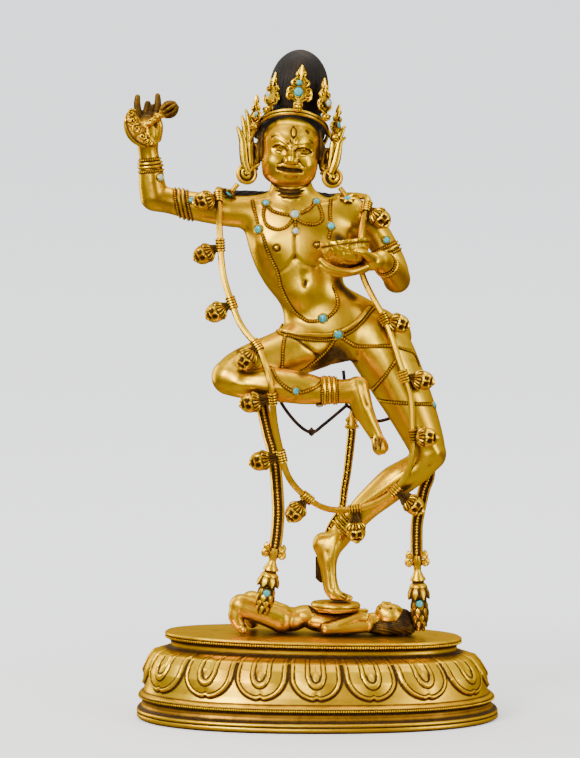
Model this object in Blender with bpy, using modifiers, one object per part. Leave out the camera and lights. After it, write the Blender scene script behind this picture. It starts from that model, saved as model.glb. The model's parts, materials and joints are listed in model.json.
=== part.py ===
"""Gilt copper statue of a dancing dakini on an oval lotus base, set with turquoises.

Lengths are in metres. The statue stands on z = 0, faces -Y, and its base is centred on the origin.
Poses and carving of the figures are kept as shares of their own height or length.
"""
import math

import bmesh
import bpy
from mathutils import Matrix, Vector
from mathutils.bvhtree import BVHTree

# Lotus base
BASE_WIDTH = 0.217
BASE_DEPTH = 0.132
RIM_WIDTH = 0.1785
RIM_DEPTH = 0.084
BASE_HEIGHT = 0.0492
RIM_SHIFT = -0.0025
PLATE_LEAN_DEG = 1.2
PETAL_COUNT = 16
PETAL_RELIEF = 0.0024
OUTLINE_POWER = 2.3

# Corpse and disc
CORPSE_LENGTH = 0.108
CORPSE_CHEST = 0.0135
DISC_RADIUS = 0.015
DISC_THICKNESS = 0.0056
DISC_PLACE = (0.0105, -0.002)

# Dancing figure
FIGURE_HEIGHT = 0.331
HEAD_TILT_DEG = 4.0
STRAND_RADIUS = 0.0020
KNOT_RADIUS = 0.0034
SEVERED_HEAD_RADIUS = 0.0059
STRAP_HALF_WIDTH = 0.0036
STRAP_HALF_DEPTH = 0.0012
SWAG_RADIUS = 0.0012
CUP_RADIUS = 0.0143
CUP_HEIGHT = 0.0152
CUP_WALL = 0.0013
CUP_TILT_DEG = 7.0
BLADE_CHORD = 0.0270
BLADE_SAGITTA = 0.0115
BLADE_THICKNESS = 0.0022
HANDLE_RADIUS = 0.0019
HANDLE_LENGTH = 0.0235
RING_RADIUS = 0.0048
RING_WIRE = 0.0013
STONE_RISE = 0.60

# Clearances
SEAT_GAP = 0.0003
REST_GAP = 0.0005
HANG_GAP = 0.0008

# Mesh fineness
BODY_VOXEL = 0.0011
TRINKET_VOXEL = 0.0008
FIGURE_FACES = 2460
GARLAND_FACES = 1250
CORPSE_FACES = 500
CROWN_FACES = 570
EARRING_FACES = 130
SWAG_FACES = 200

FIGURE_UNIT = FIGURE_HEIGHT / 331.0
CORPSE_UNIT = CORPSE_LENGTH / 108.0
SIGHT_DISTANCE = 1320.0
SIGHT_X = -16.5
SIGHT_Z = 159.0

GILT = ("gilt_copper", (0.83, 0.56, 0.16, 1.0), 0.30, 1.0)
DARK_IRON = ("dark_bronze", (0.07, 0.045, 0.03, 1.0), 0.5, 0.8)
TURQUOISE = ("turquoise", (0.22, 0.62, 0.66, 1.0), 0.35, 0.0)
PALE_STONE = ("pale_stone", (0.78, 0.82, 0.76, 1.0), 0.35, 0.0)

# Torso sections, bottom to top: centre x, y, height, half width, half depth, rise of the right side in degrees
TORSO = [
    (15, 1, 143, 20, 14, 12),
    (12, 2, 158, 30, 17.5, 16),
    (7, 2, 171, 28, 17.5, 17),
    (-2.5, 1, 182.5, 20.5, 14, 18),
    (-7.5, 0, 191.5, 23.5, 15.5, 10),
    (-9, 0, 201.5, 28.5, 17, 5),
    (-9.5, 0, 213, 32.5, 18, 2),
    (-10, 0, 224, 34, 17, 0),
    (-11, 1, 234.5, 31, 14, 0),
    (-14, 2, 242, 19, 12, 0),
    (-15.5, 1, 248, 12.8, 12, 0),
    (-16.3, 0, 258, 12.2, 12, 0),
]

# Limbs as runs of x, y, height and radius
LIMBS = {
    "right_arm": [(-28, 1, 234, 10.5), (-38, 0, 233, 10.2), (-48, -1, 233, 9.7), (-60, -2, 234.3, 9.2),
                  (-75, -4, 236.5, 8.5), (-88, -5, 239.3, 7.8), (-97, -6, 241, 8.2)],
    "right_forearm": [(-97.5, -6, 241.5, 8.4), (-98.7, -7, 249, 8.0), (-99.2, -8, 256, 7.4),
                      (-100, -9, 263, 6.3), (-100.7, -10, 268, 6.0), (-101, -11, 273, 6.5)],
    "right_first_finger": [(-105, -11, 288, 2.4), (-107, -11, 295, 2.3), (-107, -11, 300, 1.9)],
    "right_second_finger": [(-101, -10, 288, 2.4), (-101.5, -9.5, 297.5, 2.0)],
    "right_third_finger": [(-96.5, -12, 287, 2.4), (-95.3, -13, 295, 2.2), (-95, -13, 301, 1.9)],
    "right_thumb": [(-95.5, -13, 276, 2.8), (-94, -15, 284, 2.4), (-96, -16, 290, 2.0)],
    "left_arm": [(14, 1, 233, 11), (21, 1, 231.5, 11), (28, 1, 227, 9.6), (35, 2, 219.5, 8.9),
                 (41, 2, 210, 8.4), (45.5, 1, 200.5, 8.3), (47.5, -1, 192.5, 8.2)],
    "left_forearm": [(47.5, -1, 192.5, 8.2), (46.5, -9, 194, 8.0), (43, -19, 197.5, 7.4),
                     (39.5, -27, 200.7, 6.4), (36.5, -33, 203, 6.0)],
    "left_first_finger": [(28, -40, 199, 2.8), (20, -46, 196, 2.3), (12, -48.5, 196.5, 2.2),
                          (5, -49, 199, 2.0), (1.5, -49, 202, 1.6)],
    "left_second_finger": [(27, -37, 198, 2.6), (15, -41, 195, 2.3), (7, -41, 196, 2.2), (2, -41, 199, 1.8)],
    "left_third_finger": [(26, -34, 199, 2.6), (14, -34, 196.5, 2.3), (6, -34, 198.5, 1.9)],
    "left_thumb": [(31, -42, 203, 2.8), (26, -50, 206.5, 2.3), (21.5, -53.5, 207, 1.8)],
    "right_thigh": [(-2, -1, 155, 16.5), (-12, -5, 151, 16), (-22, -9, 147, 15), (-34, -14, 143, 13.8),
                    (-46, -20, 138.5, 12), (-52, -24, 134.5, 10.6)],
    "right_shin": [(-52, -25, 134, 10.4), (-46, -28, 131.5, 9.4), (-41.4, -29, 130.4, 8.8),
                   (-27, -31, 130.3, 10.0), (-9.2, -31, 128, 9.5), (0.6, -30, 126.6, 8.2),
                   (7.4, -29, 127, 7.4), (14, -28, 126, 7.2), (22.5, -28, 127.5, 6.8)],
    "right_foot": [(23.1, -28, 128.2, 7.0), (24.5, -28, 121.8, 6.8), (27.1, -28, 114, 6.0),
                   (31, -28, 106, 4.9), (34.4, -28.5, 99.3, 4.0), (35.6, -29, 94.8, 3.2)],
    "left_thigh": [(33, 2, 158, 18.5), (40.5, 0, 146, 18.5), (48, -2, 131.5, 16.8), (54.5, -4, 118.5, 15),
                   (60, -6, 106, 13.2), (64, -8, 96, 11.6), (66.3, -9, 88.5, 10.4)],
    "left_shin": [(66.3, -9, 88, 10.2), (60.5, -8, 81, 9.2), (54, -7, 76.2, 9.7), (46, -5, 71, 10.2),
                  (38, -3, 64.2, 9.5), (30, -1, 57, 8.5), (23, 0, 49.5, 7.7), (16, 1, 41.5, 7.4),
                  (12, 1, 36, 7.0)],
    "left_foot_outer": [(11, -3, 36, 6.2), (6.8, -4.5, 26, 5.6), (6.9, -5, 19, 5.0), (7.8, -6, 11, 4.5),
                        (9.6, -7, 5.0, 4.5), (14, -8, 2.9, 2.9), (17.5, -8.5, 2.2, 2.2)],
    "left_foot_inner": [(11, 2, 36, 6.2), (6.6, 2, 26, 5.6), (6.3, 1.5, 19, 5.0), (7.2, 1, 11, 4.5),
                        (9.2, 0, 5.0, 4.5), (13.5, 0, 2.8, 2.8), (16.5, 0.3, 2.1, 2.1)],
    "right_lock": [(-22, 7, 250, 4.0), (-32, 5, 245.5, 3.8), (-42, 3, 244.5, 3.2), (-55, 2, 244.5, 2.6)],
    "left_lock": [(-8, 8, 249, 4.0), (4, 4, 244.5, 3.6), (14, 2, 241, 3.0), (20, 1, 238, 2.4)],
}

# Rounded masses of the body as centre x, y, height and the three radii
BODY_MASSES = [
    (-101, -12, 280, 8, 5.8, 10.5),
    (31, -37, 202, 7.5, 6.5, 5.5),
    (40, 8, 158, 17, 14, 15),
    (0, 8, 153, 15, 13, 14),
    (4, 2, 34.5, 6.8, 6.5, 6.5),
    (-97.5, -6, 241.5, 8.4, 8.2, 8.4),
    (47.5, -1, 192.5, 8.3, 8.2, 8.3),
    (-52.5, -24, 134.5, 10.4, 10.4, 10.6),
    (66.3, -9, 88.5, 10.6, 10.6, 10.6),
    (-24, -11, 214, 15, 8, 9),
    (6, -11, 214, 15, 8, 9),
    (-5, -10, 187, 15, 8, 12),
]

# Masses of the head in its own frame, whose origin is the top of the neck
HEAD_PLACE = (-17.3, 0, 253)
HEAD_MASSES = [
    (0, -2, 17, 17.2, 19.5, 21),
    (0, -9, 3.5, 11.5, 10, 7),
    (-9, -13, 10, 6, 6, 6),
    (9, -13, 10, 6, 6, 6),
    (0, 4, 28, 20.2, 20, 18.5),
    (0, 12, 10, 15, 11, 20),
    (1.5, 4, 53.8, 18.8, 17.8, 24.2),
    (-19, 0, 17, 2.2, 4.5, 9),
    (19, 0, 17, 2.2, 4.5, 9),
]
HEAD_RIDGES = [
    [(0, -20, 23, 2.0), (0, -23, 16, 3.0)],
    [(-11, -17, 24, 1.6), (-2, -20.5, 20.5, 2.0)],
    [(11, -17, 24, 1.6), (2, -20.5, 20.5, 2.0)],
    [(-8, -19, 8.5, 1.4), (0, -21.5, 9.5, 1.6), (8, -19, 8.5, 1.4)],
    [(-6, -18.5, 3.5, 1.6), (0, -20, 3.0, 2.0), (6, -18.5, 3.5, 1.6)],
]

# Cast bands round the limbs: centre x, y, height, direction, radius, width
BANDS = [
    (-80, -4.5, 237.5, (1, -0.08, 0.17), 9.2, 7),
    (-100, -9, 261.5, (-0.1, -0.14, 1), 7.6, 7),
    (41.5, 2, 209.5, (0.45, 0, -0.9), 9.4, 6),
    (39.8, -26, 200.3, (-0.35, -0.88, 0.3), 7.7, 5),
    (5, -29.5, 126.8, (1, 0, 0), 9.2, 6.5),
    (18.5, 1, 44.5, (-0.68, 0.1, -0.73), 9.2, 7),
]
BELT_RADIUS = 1.4
BELT_DIP = 8.0

# The head garland's strand seen from the front: x, height, depth, and the side it lies on
STRAND = [
    (-58.8, 225, -13, "front"), (-58.3, 213, -14, "front"), (-57.5, 202.2, -16, "front"),
    (-55.5, 189.6, -19, "front"), (-51, 178.2, -22, "front"), (-48.3, 168.6, -25, "front"),
    (-43.2, 160.8, -28, "front"), (-38.7, 155.4, -31, "front"), (-34.2, 152.7, -33, "front"),
    (-32.7, 143.7, -36, "front"), (-28.2, 133.8, -41, "front"), (-27.3, 123.8, -42, "front"),
    (-26.1, 108, -38, "front"), (-23.5, 94.8, -34, "front"), (-21.9, 88.8, -32, "front"),
    (-18.3, 74.4, -28, "front"), (-11.1, 65.4, -24, "front"), (-7.5, 62.4, -22, "front"),
    (1.5, 55.8, -18, "front"), (9.9, 53.7, -15, "front"), (21.6, 54.6, -12, "front"),
    (29.7, 55.8, -12, "front"), (38.1, 60.3, -14, "front"), (47.1, 65.4, -16, "front"),
    (54.3, 77.4, -20, "front"), (58.5, 91.8, -22, "front"), (56.9, 101.1, -22, "front"),
    (56.7, 117, -22, "front"), (54.9, 128.4, -22, "front"), (51.9, 135, -22, "front"),
    (45.9, 153.6, -21, "front"), (42.3, 164.4, -20, "front"), (38.5, 172.8, -18, "front"),
    (33.3, 181.2, -16, "front"), (29.1, 189.6, -14, "free"), (25.8, 197.4, -14, "free"),
    (25, 208, -15, "free"), (26.7, 220.2, -15, "free"), (28, 230, -12, "free"), (29, 238, -4, "free"),
    (28, 242, 4, "free"), (20, 244, 12, "back"), (5, 243, 17, "back"), (-15, 244, 20, "back"),
    (-35, 243, 18, "back"), (-50, 243, 12, "back"), (-58, 246, 5, "free"), (-60, 247, -2, "free"),
    (-59.8, 241, -9, "free"), (-59.1, 236, -12, "free"),
]

# Severed heads: the place of the knot on the strand, then of the head, as x and height
SEVERED_HEADS = [
    ((-59.5, 241.5), (-68.3, 239.4)), ((-57, 212), (-68.1, 207.6)), ((-51, 178), (-60.9, 172.8)),
    ((-34.2, 152.7), (-43.1, 144.2)), ((-27.3, 123.8), (-40, 118.5)), ((-21.9, 89.5), (-34.2, 83.6)),
    ((-7.5, 62.4), (-13.3, 52.8)), ((21.6, 54.9), (23.1, 41.6)), ((47, 65.4), (57.9, 57)),
    ((56.9, 101), (65.7, 97.8)), ((51.8, 135), (63.3, 132)), ((39.5, 168.3), (48.7, 166)),
    ((30.3, 234.6), (36.9, 228.6)),
]

# Straps from the belt down, seen from the front: x, height, depth, share of the strap's width
RIGHT_STRAP = [(-19, 165, 18, 0.8), (-25, 152, 12, 1), (-30, 138, 8, 1), (-32.5, 126, 2, 1), (-33, 117, -6, 1),
               (-29.3, 99.6, -12, 1), (-26, 86.4, -16, 1), (-23.6, 57, -20, 1), (-24.2, 41.4, -22, 1),
               (-25.3, 33, -24, 1)]
LEFT_STRAP = [(37, 169, 24, 0.8), (44, 152, 22, 1), (52, 130, 18, 1), (60, 108, 13, 1), (66.5, 88, 10, 1),
              (66.9, 75, 9, 1), (63.9, 66, 8, 1), (60.7, 51.6, 4, 1), (59.6, 43.2, 1, 1), (59.6, 28.4, -5, 1)]
BACK_STRAP = [(19.6, 116, 14.6, 0.3), (20.6, 103, 14, 0.3), (20.2, 97.5, 14, 1.1), (18, 78, 14, 1), (16.2, 67, 14, 1),
              (14.5, 55, 14, 1), (9, 46, 14, 0.9), (5, 37, 15, 0.8), (2.5, 29, 15, 0.6)]

# Hanging ornament under a strap: distance down from the strap's end, half width, half depth
FINIAL = [(3, 6.6, 2.6), (7.5, 6.4, 2.6), (9.5, 3.2, 2.4), (13.5, 3.2, 2.8), (16, 4.8, 3.8), (17.2, 3.2, 2.8),
          (20, 6.5, 4.4), (22, 4.6, 3.8), (28, 6.2, 4.8), (35, 4.8, 4.0), (39, 2.6, 2.4), (42, 1.4, 1.4)]
BACK_TASSEL = [(4, 3.4, 2.6), (15, 3.2, 2.6), (19, 1.6, 1.4)]

# Cords of the swag behind the legs: x, height, depth
SWAG_CORDS = [
    [(-25, 129, 3), (-21.5, 118.2, 8), (-12.3, 106.2, 12), (-3.6, 100.8, 14), (3.9, 105.6, 14), (17.5, 117, 12)],
    [(17.5, 117, 12), (26, 111.5, 12), (36, 107.6, 11), (47, 110.5, 14)],
    [(17.5, 116, 12), (16.5, 128, 11), (15.5, 138, 11)],
]

# Crown leaves in the head's frame: x, depth, foot height, leaf height, half width, turn in degrees
CROWN_BAND = (0.5, 1.0, 32.0, 21.6, 22.4, 24.0)
CROWN_LEAVES = [(5.5, -20.5, 42.5, 25.5, 7.4, 0), (19.3, -15.5, 35.5, 26, 5.6, 45),
                (-10.5, -17.5, 39.5, 24, 5.4, -32), (27.3, -6.0, 26.5, 18.5, 4.6, 62),
                (-20.5, -9.0, 30, 21.5, 4.6, -60)]

# Set stones: name, x, height, radius, and whether the stone is pale
STONES = [
    ("stone_crown_tip", -11.0, 310.4, 1.8, False), ("stone_crown_front", -11.5, 304.9, 2.8, False),
    ("stone_crown_right", -29.1, 303.4, 2.2, True), ("stone_crown_left", 6.3, 298.3, 2.1, True),
    ("stone_crown_far_right", -38.7, 292.2, 1.7, False), ("stone_crown_far_left", 12.3, 285.3, 1.7, False),
    ("stone_earring_right", -52.3, 244.8, 2.6, False), ("stone_earring_left", 17.7, 241.2, 2.3, False),
    ("stone_armlet_right", -75.3, 240, 2.0, False), ("stone_wrist_right", -94.5, 253.8, 2.1, True),
    ("stone_armlet_left", 41.0, 216.4, 2.0, False), ("stone_neck_right", -30.9, 238.2, 2.1, False),
    ("stone_neck_front", -13.6, 231.8, 2.6, True), ("stone_neck_left", -0.6, 239.4, 2.0, False),
    ("stone_neck_drop", -13.1, 221.8, 1.9, True), ("stone_chest_right", -35.1, 222.8, 2.4, False),
    ("stone_chest_left", 8.1, 224.8, 2.3, False), ("stone_waist", 3.2, 169.4, 2.5, False),
    ("stone_belt", 12.4, 159.9, 2.6, False), ("stone_shin", -12.9, 126.0, 2.0, False),
    ("stone_anklet_right", 1.2, 117.6, 1.6, True), ("stone_thigh", 71.0, 117.8, 1.9, False),
    ("stone_anklet_left", 29.7, 43.2, 1.6, False), ("stone_pendant_right", -30.6, 4.3, 2.2, False),
    ("stone_pendant_left", 61.3, -2.0, 2.2, False),
]


def clear_scene():
    for thing in list(bpy.data.objects):
        bpy.data.objects.remove(thing, do_unlink=True)


def new_collection(name):
    collection = bpy.data.collections.new(name)
    bpy.context.scene.collection.children.link(collection)
    return collection


def material(spec):
    name, colour, roughness, metallic = spec
    made = bpy.data.materials.get(name)
    if made is None:
        made = bpy.data.materials.new(name)
        made.use_nodes = True
        shader = made.node_tree.nodes["Principled BSDF"]
        shader.inputs["Base Color"].default_value = colour
        shader.inputs["Roughness"].default_value = roughness
        shader.inputs["Metallic"].default_value = metallic
        made.diffuse_color = colour
    return made


def add_object(name, mesh, collection, spec, smooth=True):
    mesh.name = name
    thing = bpy.data.objects.new(name, mesh)
    collection.objects.link(thing)
    mesh.materials.clear()
    mesh.materials.append(material(spec))
    if smooth:
        mesh.shade_smooth()
        mesh.set_sharp_from_angle(angle=math.radians(50))
    return thing


def add_cutter(name, mesh, cutters):
    thing = bpy.data.objects.new(name, mesh)
    cutters.objects.link(thing)
    thing.hide_render = True
    thing.display_type = "WIRE"
    return thing


def settled(thing):
    """The object's mesh with its modifiers applied, as a new mesh."""
    graph = bpy.context.evaluated_depsgraph_get()
    graph.update()
    return bpy.data.meshes.new_from_object(thing.evaluated_get(graph))


def place(x, y, height):
    """A place on the dancing figure, from its own units above the soles, in metres."""
    return Vector((x * FIGURE_UNIT, y * FIGURE_UNIT, stand_height() + height * FIGURE_UNIT))


def seen(x, height, depth):
    """A place read on the middle plane, moved along the front line of sight to its depth."""
    nearer = (SIGHT_DISTANCE + depth) / SIGHT_DISTANCE
    return place(SIGHT_X + (x - SIGHT_X) * nearer, depth, SIGHT_Z + (height - SIGHT_Z) * nearer)


def plate_frame():
    """The base's top plate: its origin is the plate's middle, and it leans to the right."""
    lean = Matrix.Rotation(math.radians(PLATE_LEAN_DEG), 4, "Y")
    return Matrix.Translation((0, 0, BASE_HEIGHT)) @ lean


def disc_middle():
    rise = SEAT_GAP + CORPSE_CHEST + SEAT_GAP + DISC_THICKNESS / 2
    return plate_frame() @ Vector((DISC_PLACE[0], DISC_PLACE[1], rise))


def stand_height():
    """The height of the figure's soles, just over the disc's upper face at its highest edge."""
    slope = math.sin(math.radians(PLATE_LEAN_DEG))
    return disc_middle().z + DISC_THICKNESS / 2 + slope * DISC_RADIUS * 0.3 + SEAT_GAP


def head_frame():
    return Matrix.Translation(place(*HEAD_PLACE)) @ Matrix.Rotation(math.radians(HEAD_TILT_DEG), 4, "Y")


def on_head(x, y, z):
    return head_frame() @ (Vector((x, y, z)) * FIGURE_UNIT)


def drop_inner_shells(mesh):
    """Removes the skins of the closed hollows inside a lump."""
    shape = bmesh.new()
    shape.from_mesh(mesh)
    left = set(shape.faces)
    hollow = []
    while left:
        edge = [left.pop()]
        shell = []
        while edge:
            face = edge.pop()
            shell.append(face)
            near = {other for side in face.edges for other in side.link_faces} & left
            left -= near
            edge.extend(near)
        volume = sum(face.calc_center_median().dot(face.normal) * face.calc_area() for face in shell)
        if volume < 0:
            hollow.extend(shell)
    bmesh.ops.delete(shape, geom=hollow, context="FACES")
    shape.to_mesh(mesh)
    shape.free()


def skinned(mesh, voxel, smoothing, origin):
    """One closed skin round overlapping shapes, a little smoothed, on a grid that starts at the origin given."""
    mesh.transform(Matrix.Translation(-origin))
    guide = bpy.data.objects.new("clay", mesh)
    bpy.context.scene.collection.objects.link(guide)
    remesh = guide.modifiers.new("fuse", "REMESH")
    remesh.mode = "VOXEL"
    remesh.voxel_size = voxel
    if smoothing:
        soften = guide.modifiers.new("soften", "SMOOTH")
        soften.factor = 0.5
        soften.iterations = smoothing
    skin = settled(guide)
    bpy.data.objects.remove(guide, do_unlink=True)
    drop_inner_shells(skin)
    skin.transform(Matrix.Translation(origin))
    return skin


def stood_off(mesh, tree, voxel):
    """The skin moved out to the rest gap wherever it is too near the body, and made one clean skin again."""
    for vertex in mesh.vertices:
        vertex.co = clear_of(tree, vertex.co, REST_GAP + voxel / 4)
    return skinned(mesh, voxel, 1, place(0, 0, 0))


class Clay:
    """A lump of overlapping closed shapes that is fused into one skin."""

    def __init__(self):
        self.mesh = bmesh.new()

    def ball(self, middle, radii, turn=None):
        shape = Matrix.Translation(middle)
        if turn is not None:
            shape = shape @ turn
        shape = shape @ Matrix.Diagonal((*radii, 1.0))
        bmesh.ops.create_icosphere(self.mesh, subdivisions=3, radius=1.0, matrix=shape)

    def band(self, middle, along, radius, width, sides=24):
        turn = Vector(along).to_track_quat("Z", "Y").to_matrix().to_4x4()
        bmesh.ops.create_cone(self.mesh, cap_ends=True, segments=sides, radius1=radius, radius2=radius,
                              depth=width, matrix=Matrix.Translation(middle) @ turn)

    def tube(self, points, radii, closed=False, sides=16):
        curve = bpy.data.curves.new("tube", "CURVE")
        curve.dimensions = "3D"
        curve.bevel_depth = 1.0
        curve.bevel_resolution = max(0, sides // 2 - 2)
        curve.resolution_u = 5
        curve.use_fill_caps = not closed
        spline = curve.splines.new("BEZIER")
        spline.bezier_points.add(len(points) - 1)
        spline.use_cyclic_u = closed
        for knot, point, radius in zip(spline.bezier_points, points, radii):
            knot.co = point
            knot.radius = radius
            knot.handle_left_type = "AUTO"
            knot.handle_right_type = "AUTO"
        guide = bpy.data.objects.new("tube", curve)
        bpy.context.scene.collection.objects.link(guide)
        mesh = settled(guide)
        self.mesh.from_mesh(mesh)
        bpy.data.objects.remove(guide, do_unlink=True)
        bpy.data.meshes.remove(mesh)
        bmesh.ops.remove_doubles(self.mesh, verts=self.mesh.verts, dist=1e-7)
        if not closed:
            for point, radius in ((points[0], radii[0]), (points[-1], radii[-1])):
                self.ball(point, (radius, radius, radius))

    def loft(self, rings):
        """Joins rings of equal point count, bottom to top, and closes both ends."""
        rows = [[self.mesh.verts.new(point) for point in ring] for ring in rings]
        count = len(rows[0])
        for lower, upper in zip(rows, rows[1:]):
            for i in range(count):
                j = (i + 1) % count
                self.mesh.faces.new((lower[i], lower[j], upper[j], upper[i]))
        self.mesh.faces.new(list(reversed(rows[0])))
        self.mesh.faces.new(rows[-1])

    def take(self):
        bmesh.ops.recalc_face_normals(self.mesh, faces=self.mesh.faces)
        mesh = bpy.data.meshes.new("clay")
        self.mesh.to_mesh(mesh)
        self.mesh.free()
        return mesh

    def fused(self, voxel, smoothing, origin):
        return skinned(self.take(), voxel, smoothing, origin)


def thinned(mesh, faces):
    """The mesh reduced to about so many triangles."""
    guide = bpy.data.objects.new("thin", mesh)
    bpy.context.scene.collection.objects.link(guide)
    mesh.calc_loop_triangles()
    thin = guide.modifiers.new("thin", "DECIMATE")
    thin.ratio = min(1.0, faces / len(mesh.loop_triangles))
    result = settled(guide)
    bpy.data.objects.remove(guide, do_unlink=True)
    return result


def cut(thing, cutter):
    """Cuts the cutter out of the object for good."""
    knife = thing.modifiers.new("cut", "BOOLEAN")
    knife.operation = "DIFFERENCE"
    knife.solver = "EXACT"
    knife.object = cutter
    mesh = settled(thing)
    thing.modifiers.clear()
    thing.data = mesh
    mesh.name = thing.name


def skin_tree(*things):
    """A search tree over the faces of some objects that stand unmoved in the world."""
    points = []
    faces = []
    for thing in things:
        start = len(points)
        points.extend(vertex.co.copy() for vertex in thing.data.vertices)
        faces.extend([start + i for i in face.vertices] for face in thing.data.polygons)
    return BVHTree.FromPolygons(points, faces)


def sight_point():
    return place(SIGHT_X, -SIGHT_DISTANCE, SIGHT_Z)


def in_front(tree, x, height, depth, clearance):
    """The seen place, brought forward if the body is in its way."""
    point = seen(x, height, depth)
    start = sight_point()
    hit = tree.ray_cast(start, (point - start).normalized())[0]
    if hit is not None and hit.y - clearance < point.y:
        point = seen(x, height, (hit.y - clearance) / FIGURE_UNIT)
    return point


def behind(tree, x, height, depth, clearance):
    """The seen place, pushed back if the body is in its way."""
    point = place(x, depth, height)
    hit = tree.ray_cast(Vector((point.x, 1.0, point.z)), Vector((0, -1, 0)))[0]
    if hit is not None and hit.y + clearance > point.y:
        point.y = hit.y + clearance
    return point


def clear_of(tree, point, clearance):
    """Moves a point out until it is as far from the skin as the clearance."""
    for _ in range(12):
        near, normal, _, distance = tree.find_nearest(point)
        side = (point - near).dot(normal)
        if side > 0 and distance >= clearance:
            break
        if side > 0:
            point = point + (point - near).normalized() * (clearance - distance + 1e-5)
        else:
            point = near + normal * (clearance + 1e-5)
    return point


def too_near(tree, point, radius, gap):
    near, normal, _, distance = tree.find_nearest(point)
    return distance < radius * 0.8 + gap or (point - near).dot(normal) < 0


def spaced(points, step, closed):
    """Points at even steps along a smooth curve through the given ones."""
    count = len(points)
    dense = []
    spans = count if closed else count - 1
    for i in range(spans):
        before = points[(i - 1) % count] if closed or i > 0 else points[i]
        start = points[i]
        end = points[(i + 1) % count]
        after = points[(i + 2) % count] if closed or i + 2 < count else end
        for k in range(16):
            t = k / 16
            dense.append(0.5 * (2 * start + (end - before) * t
                                + (2 * before - 5 * start + 4 * end - after) * t * t
                                + (3 * start - before - 3 * end + after) * t ** 3))
    if closed:
        dense.append(dense[0].copy())
    else:
        dense.append(points[-1].copy())
    lengths = [0.0]
    for a, b in zip(dense, dense[1:]):
        lengths.append(lengths[-1] + (b - a).length)
    parts = max(2, round(lengths[-1] / step))
    result = []
    index = 0
    for k in range(parts + (0 if closed else 1)):
        target = lengths[-1] * k / parts
        while index < len(dense) - 2 and lengths[index + 1] < target:
            index += 1
        span = lengths[index + 1] - lengths[index]
        share = (target - lengths[index]) / span if span else 0.0
        result.append(dense[index].lerp(dense[index + 1], share))
    return result


def superellipse(half_width, half_depth, angle):
    c = math.cos(angle)
    s = math.sin(angle)
    power = 2.0 / OUTLINE_POWER
    x = half_width * math.copysign(abs(c) ** power, c)
    y = half_depth * math.copysign(abs(s) ** power, s)
    return x, y


def even_angles(shares):
    """Outline angles at given shares of the outline's length, starting at the front."""
    steps = 2880
    angles = [-math.pi / 2 + 2 * math.pi * k / steps for k in range(steps + 1)]
    spots = [superellipse(BASE_WIDTH + RIM_WIDTH, BASE_DEPTH + RIM_DEPTH, a) for a in angles]
    lengths = [0.0]
    for a, b in zip(spots, spots[1:]):
        lengths.append(lengths[-1] + math.dist(a, b))
    result = []
    index = 0
    for share in shares:
        while lengths[index + 1] < share * lengths[-1]:
            index += 1
        part = (share * lengths[-1] - lengths[index]) / (lengths[index + 1] - lengths[index])
        result.append(angles[index] + (angles[index + 1] - angles[index]) * part)
    return result


def base_profile():
    """Rows up the base: height, share of the way from foot to rim outline, and offset outward."""
    mm = 0.001
    h = BASE_HEIGHT / 49.2
    rows = [(0, 0, -1.6), (1.6, 0, 0), (4.8, 0, 0), (6.2, 0, -1.6), (8.8, 0.02, -3.0), (11.4, 0.05, -2.0),
            (13.5, 0.06, -0.6), (15.6, 0.12, -2.6), (19, 0.19, -2.2), (23, 0.26, -1.4), (28, 0.36, -0.6),
            (34, 0.54, -0.2), (38, 0.72, 0.0), (40.4, 1.0, -3.0), (44.2, 1.0, -3.3), (45.4, 1.0, 0.0),
            (48.2, 1.0, 0.0), (49.2, 1.0, -1.2)]
    return [(z * h, share, out * mm) for z, share, out in rows]


def petal_offset(across, height_share):
    """Outward relief of a petal: across runs from -0.5 to 0.5, height from its tip to its root."""
    if height_share <= 0.0 or height_share > 1.0:
        return 0.0
    edge = 0.44 * min(1.0, math.sqrt(max(0.0, 1 - (1 - min(1.0, height_share / 0.42)) ** 2)))
    if abs(across) > edge:
        return 0.0
    return PETAL_RELIEF


def build_base(collection):
    columns = (-0.5, -0.4, 0.0, 0.4)
    shares = [((k + u) / PETAL_COUNT) % 1.0 for k in range(PETAL_COUNT) for u in columns]
    order = sorted(range(len(shares)), key=lambda i: shares[i])
    angles = even_angles([shares[i] for i in order])
    across = [columns[i % len(columns)] for i in order]
    tip = 0.019 * BASE_HEIGHT / 0.0492
    root = 0.0395 * BASE_HEIGHT / 0.0492
    lean = math.tan(math.radians(PLATE_LEAN_DEG))
    clay = Clay()
    rings = []
    for height, share, out in base_profile():
        half_width = (BASE_WIDTH + (RIM_WIDTH - BASE_WIDTH) * share) / 2
        half_depth = (BASE_DEPTH + (RIM_DEPTH - BASE_DEPTH) * share) / 2
        ring = []
        for angle, side in zip(angles, across):
            relief = out + petal_offset(side, (height - tip) / (root - tip))
            x, y = superellipse(half_width + relief, half_depth + relief, angle)
            up = height / BASE_HEIGHT
            x += RIM_SHIFT * up
            ring.append(Vector((x, y, height - lean * x * up)))
        rings.append(ring)
    clay.loft(rings)
    return add_object("lotus_base", clay.take(), collection, GILT)


def corpse_point(x, y, height):
    local = Vector((x * CORPSE_UNIT, y * CORPSE_UNIT, height * CORPSE_UNIT + SEAT_GAP))
    return plate_frame() @ local


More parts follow.
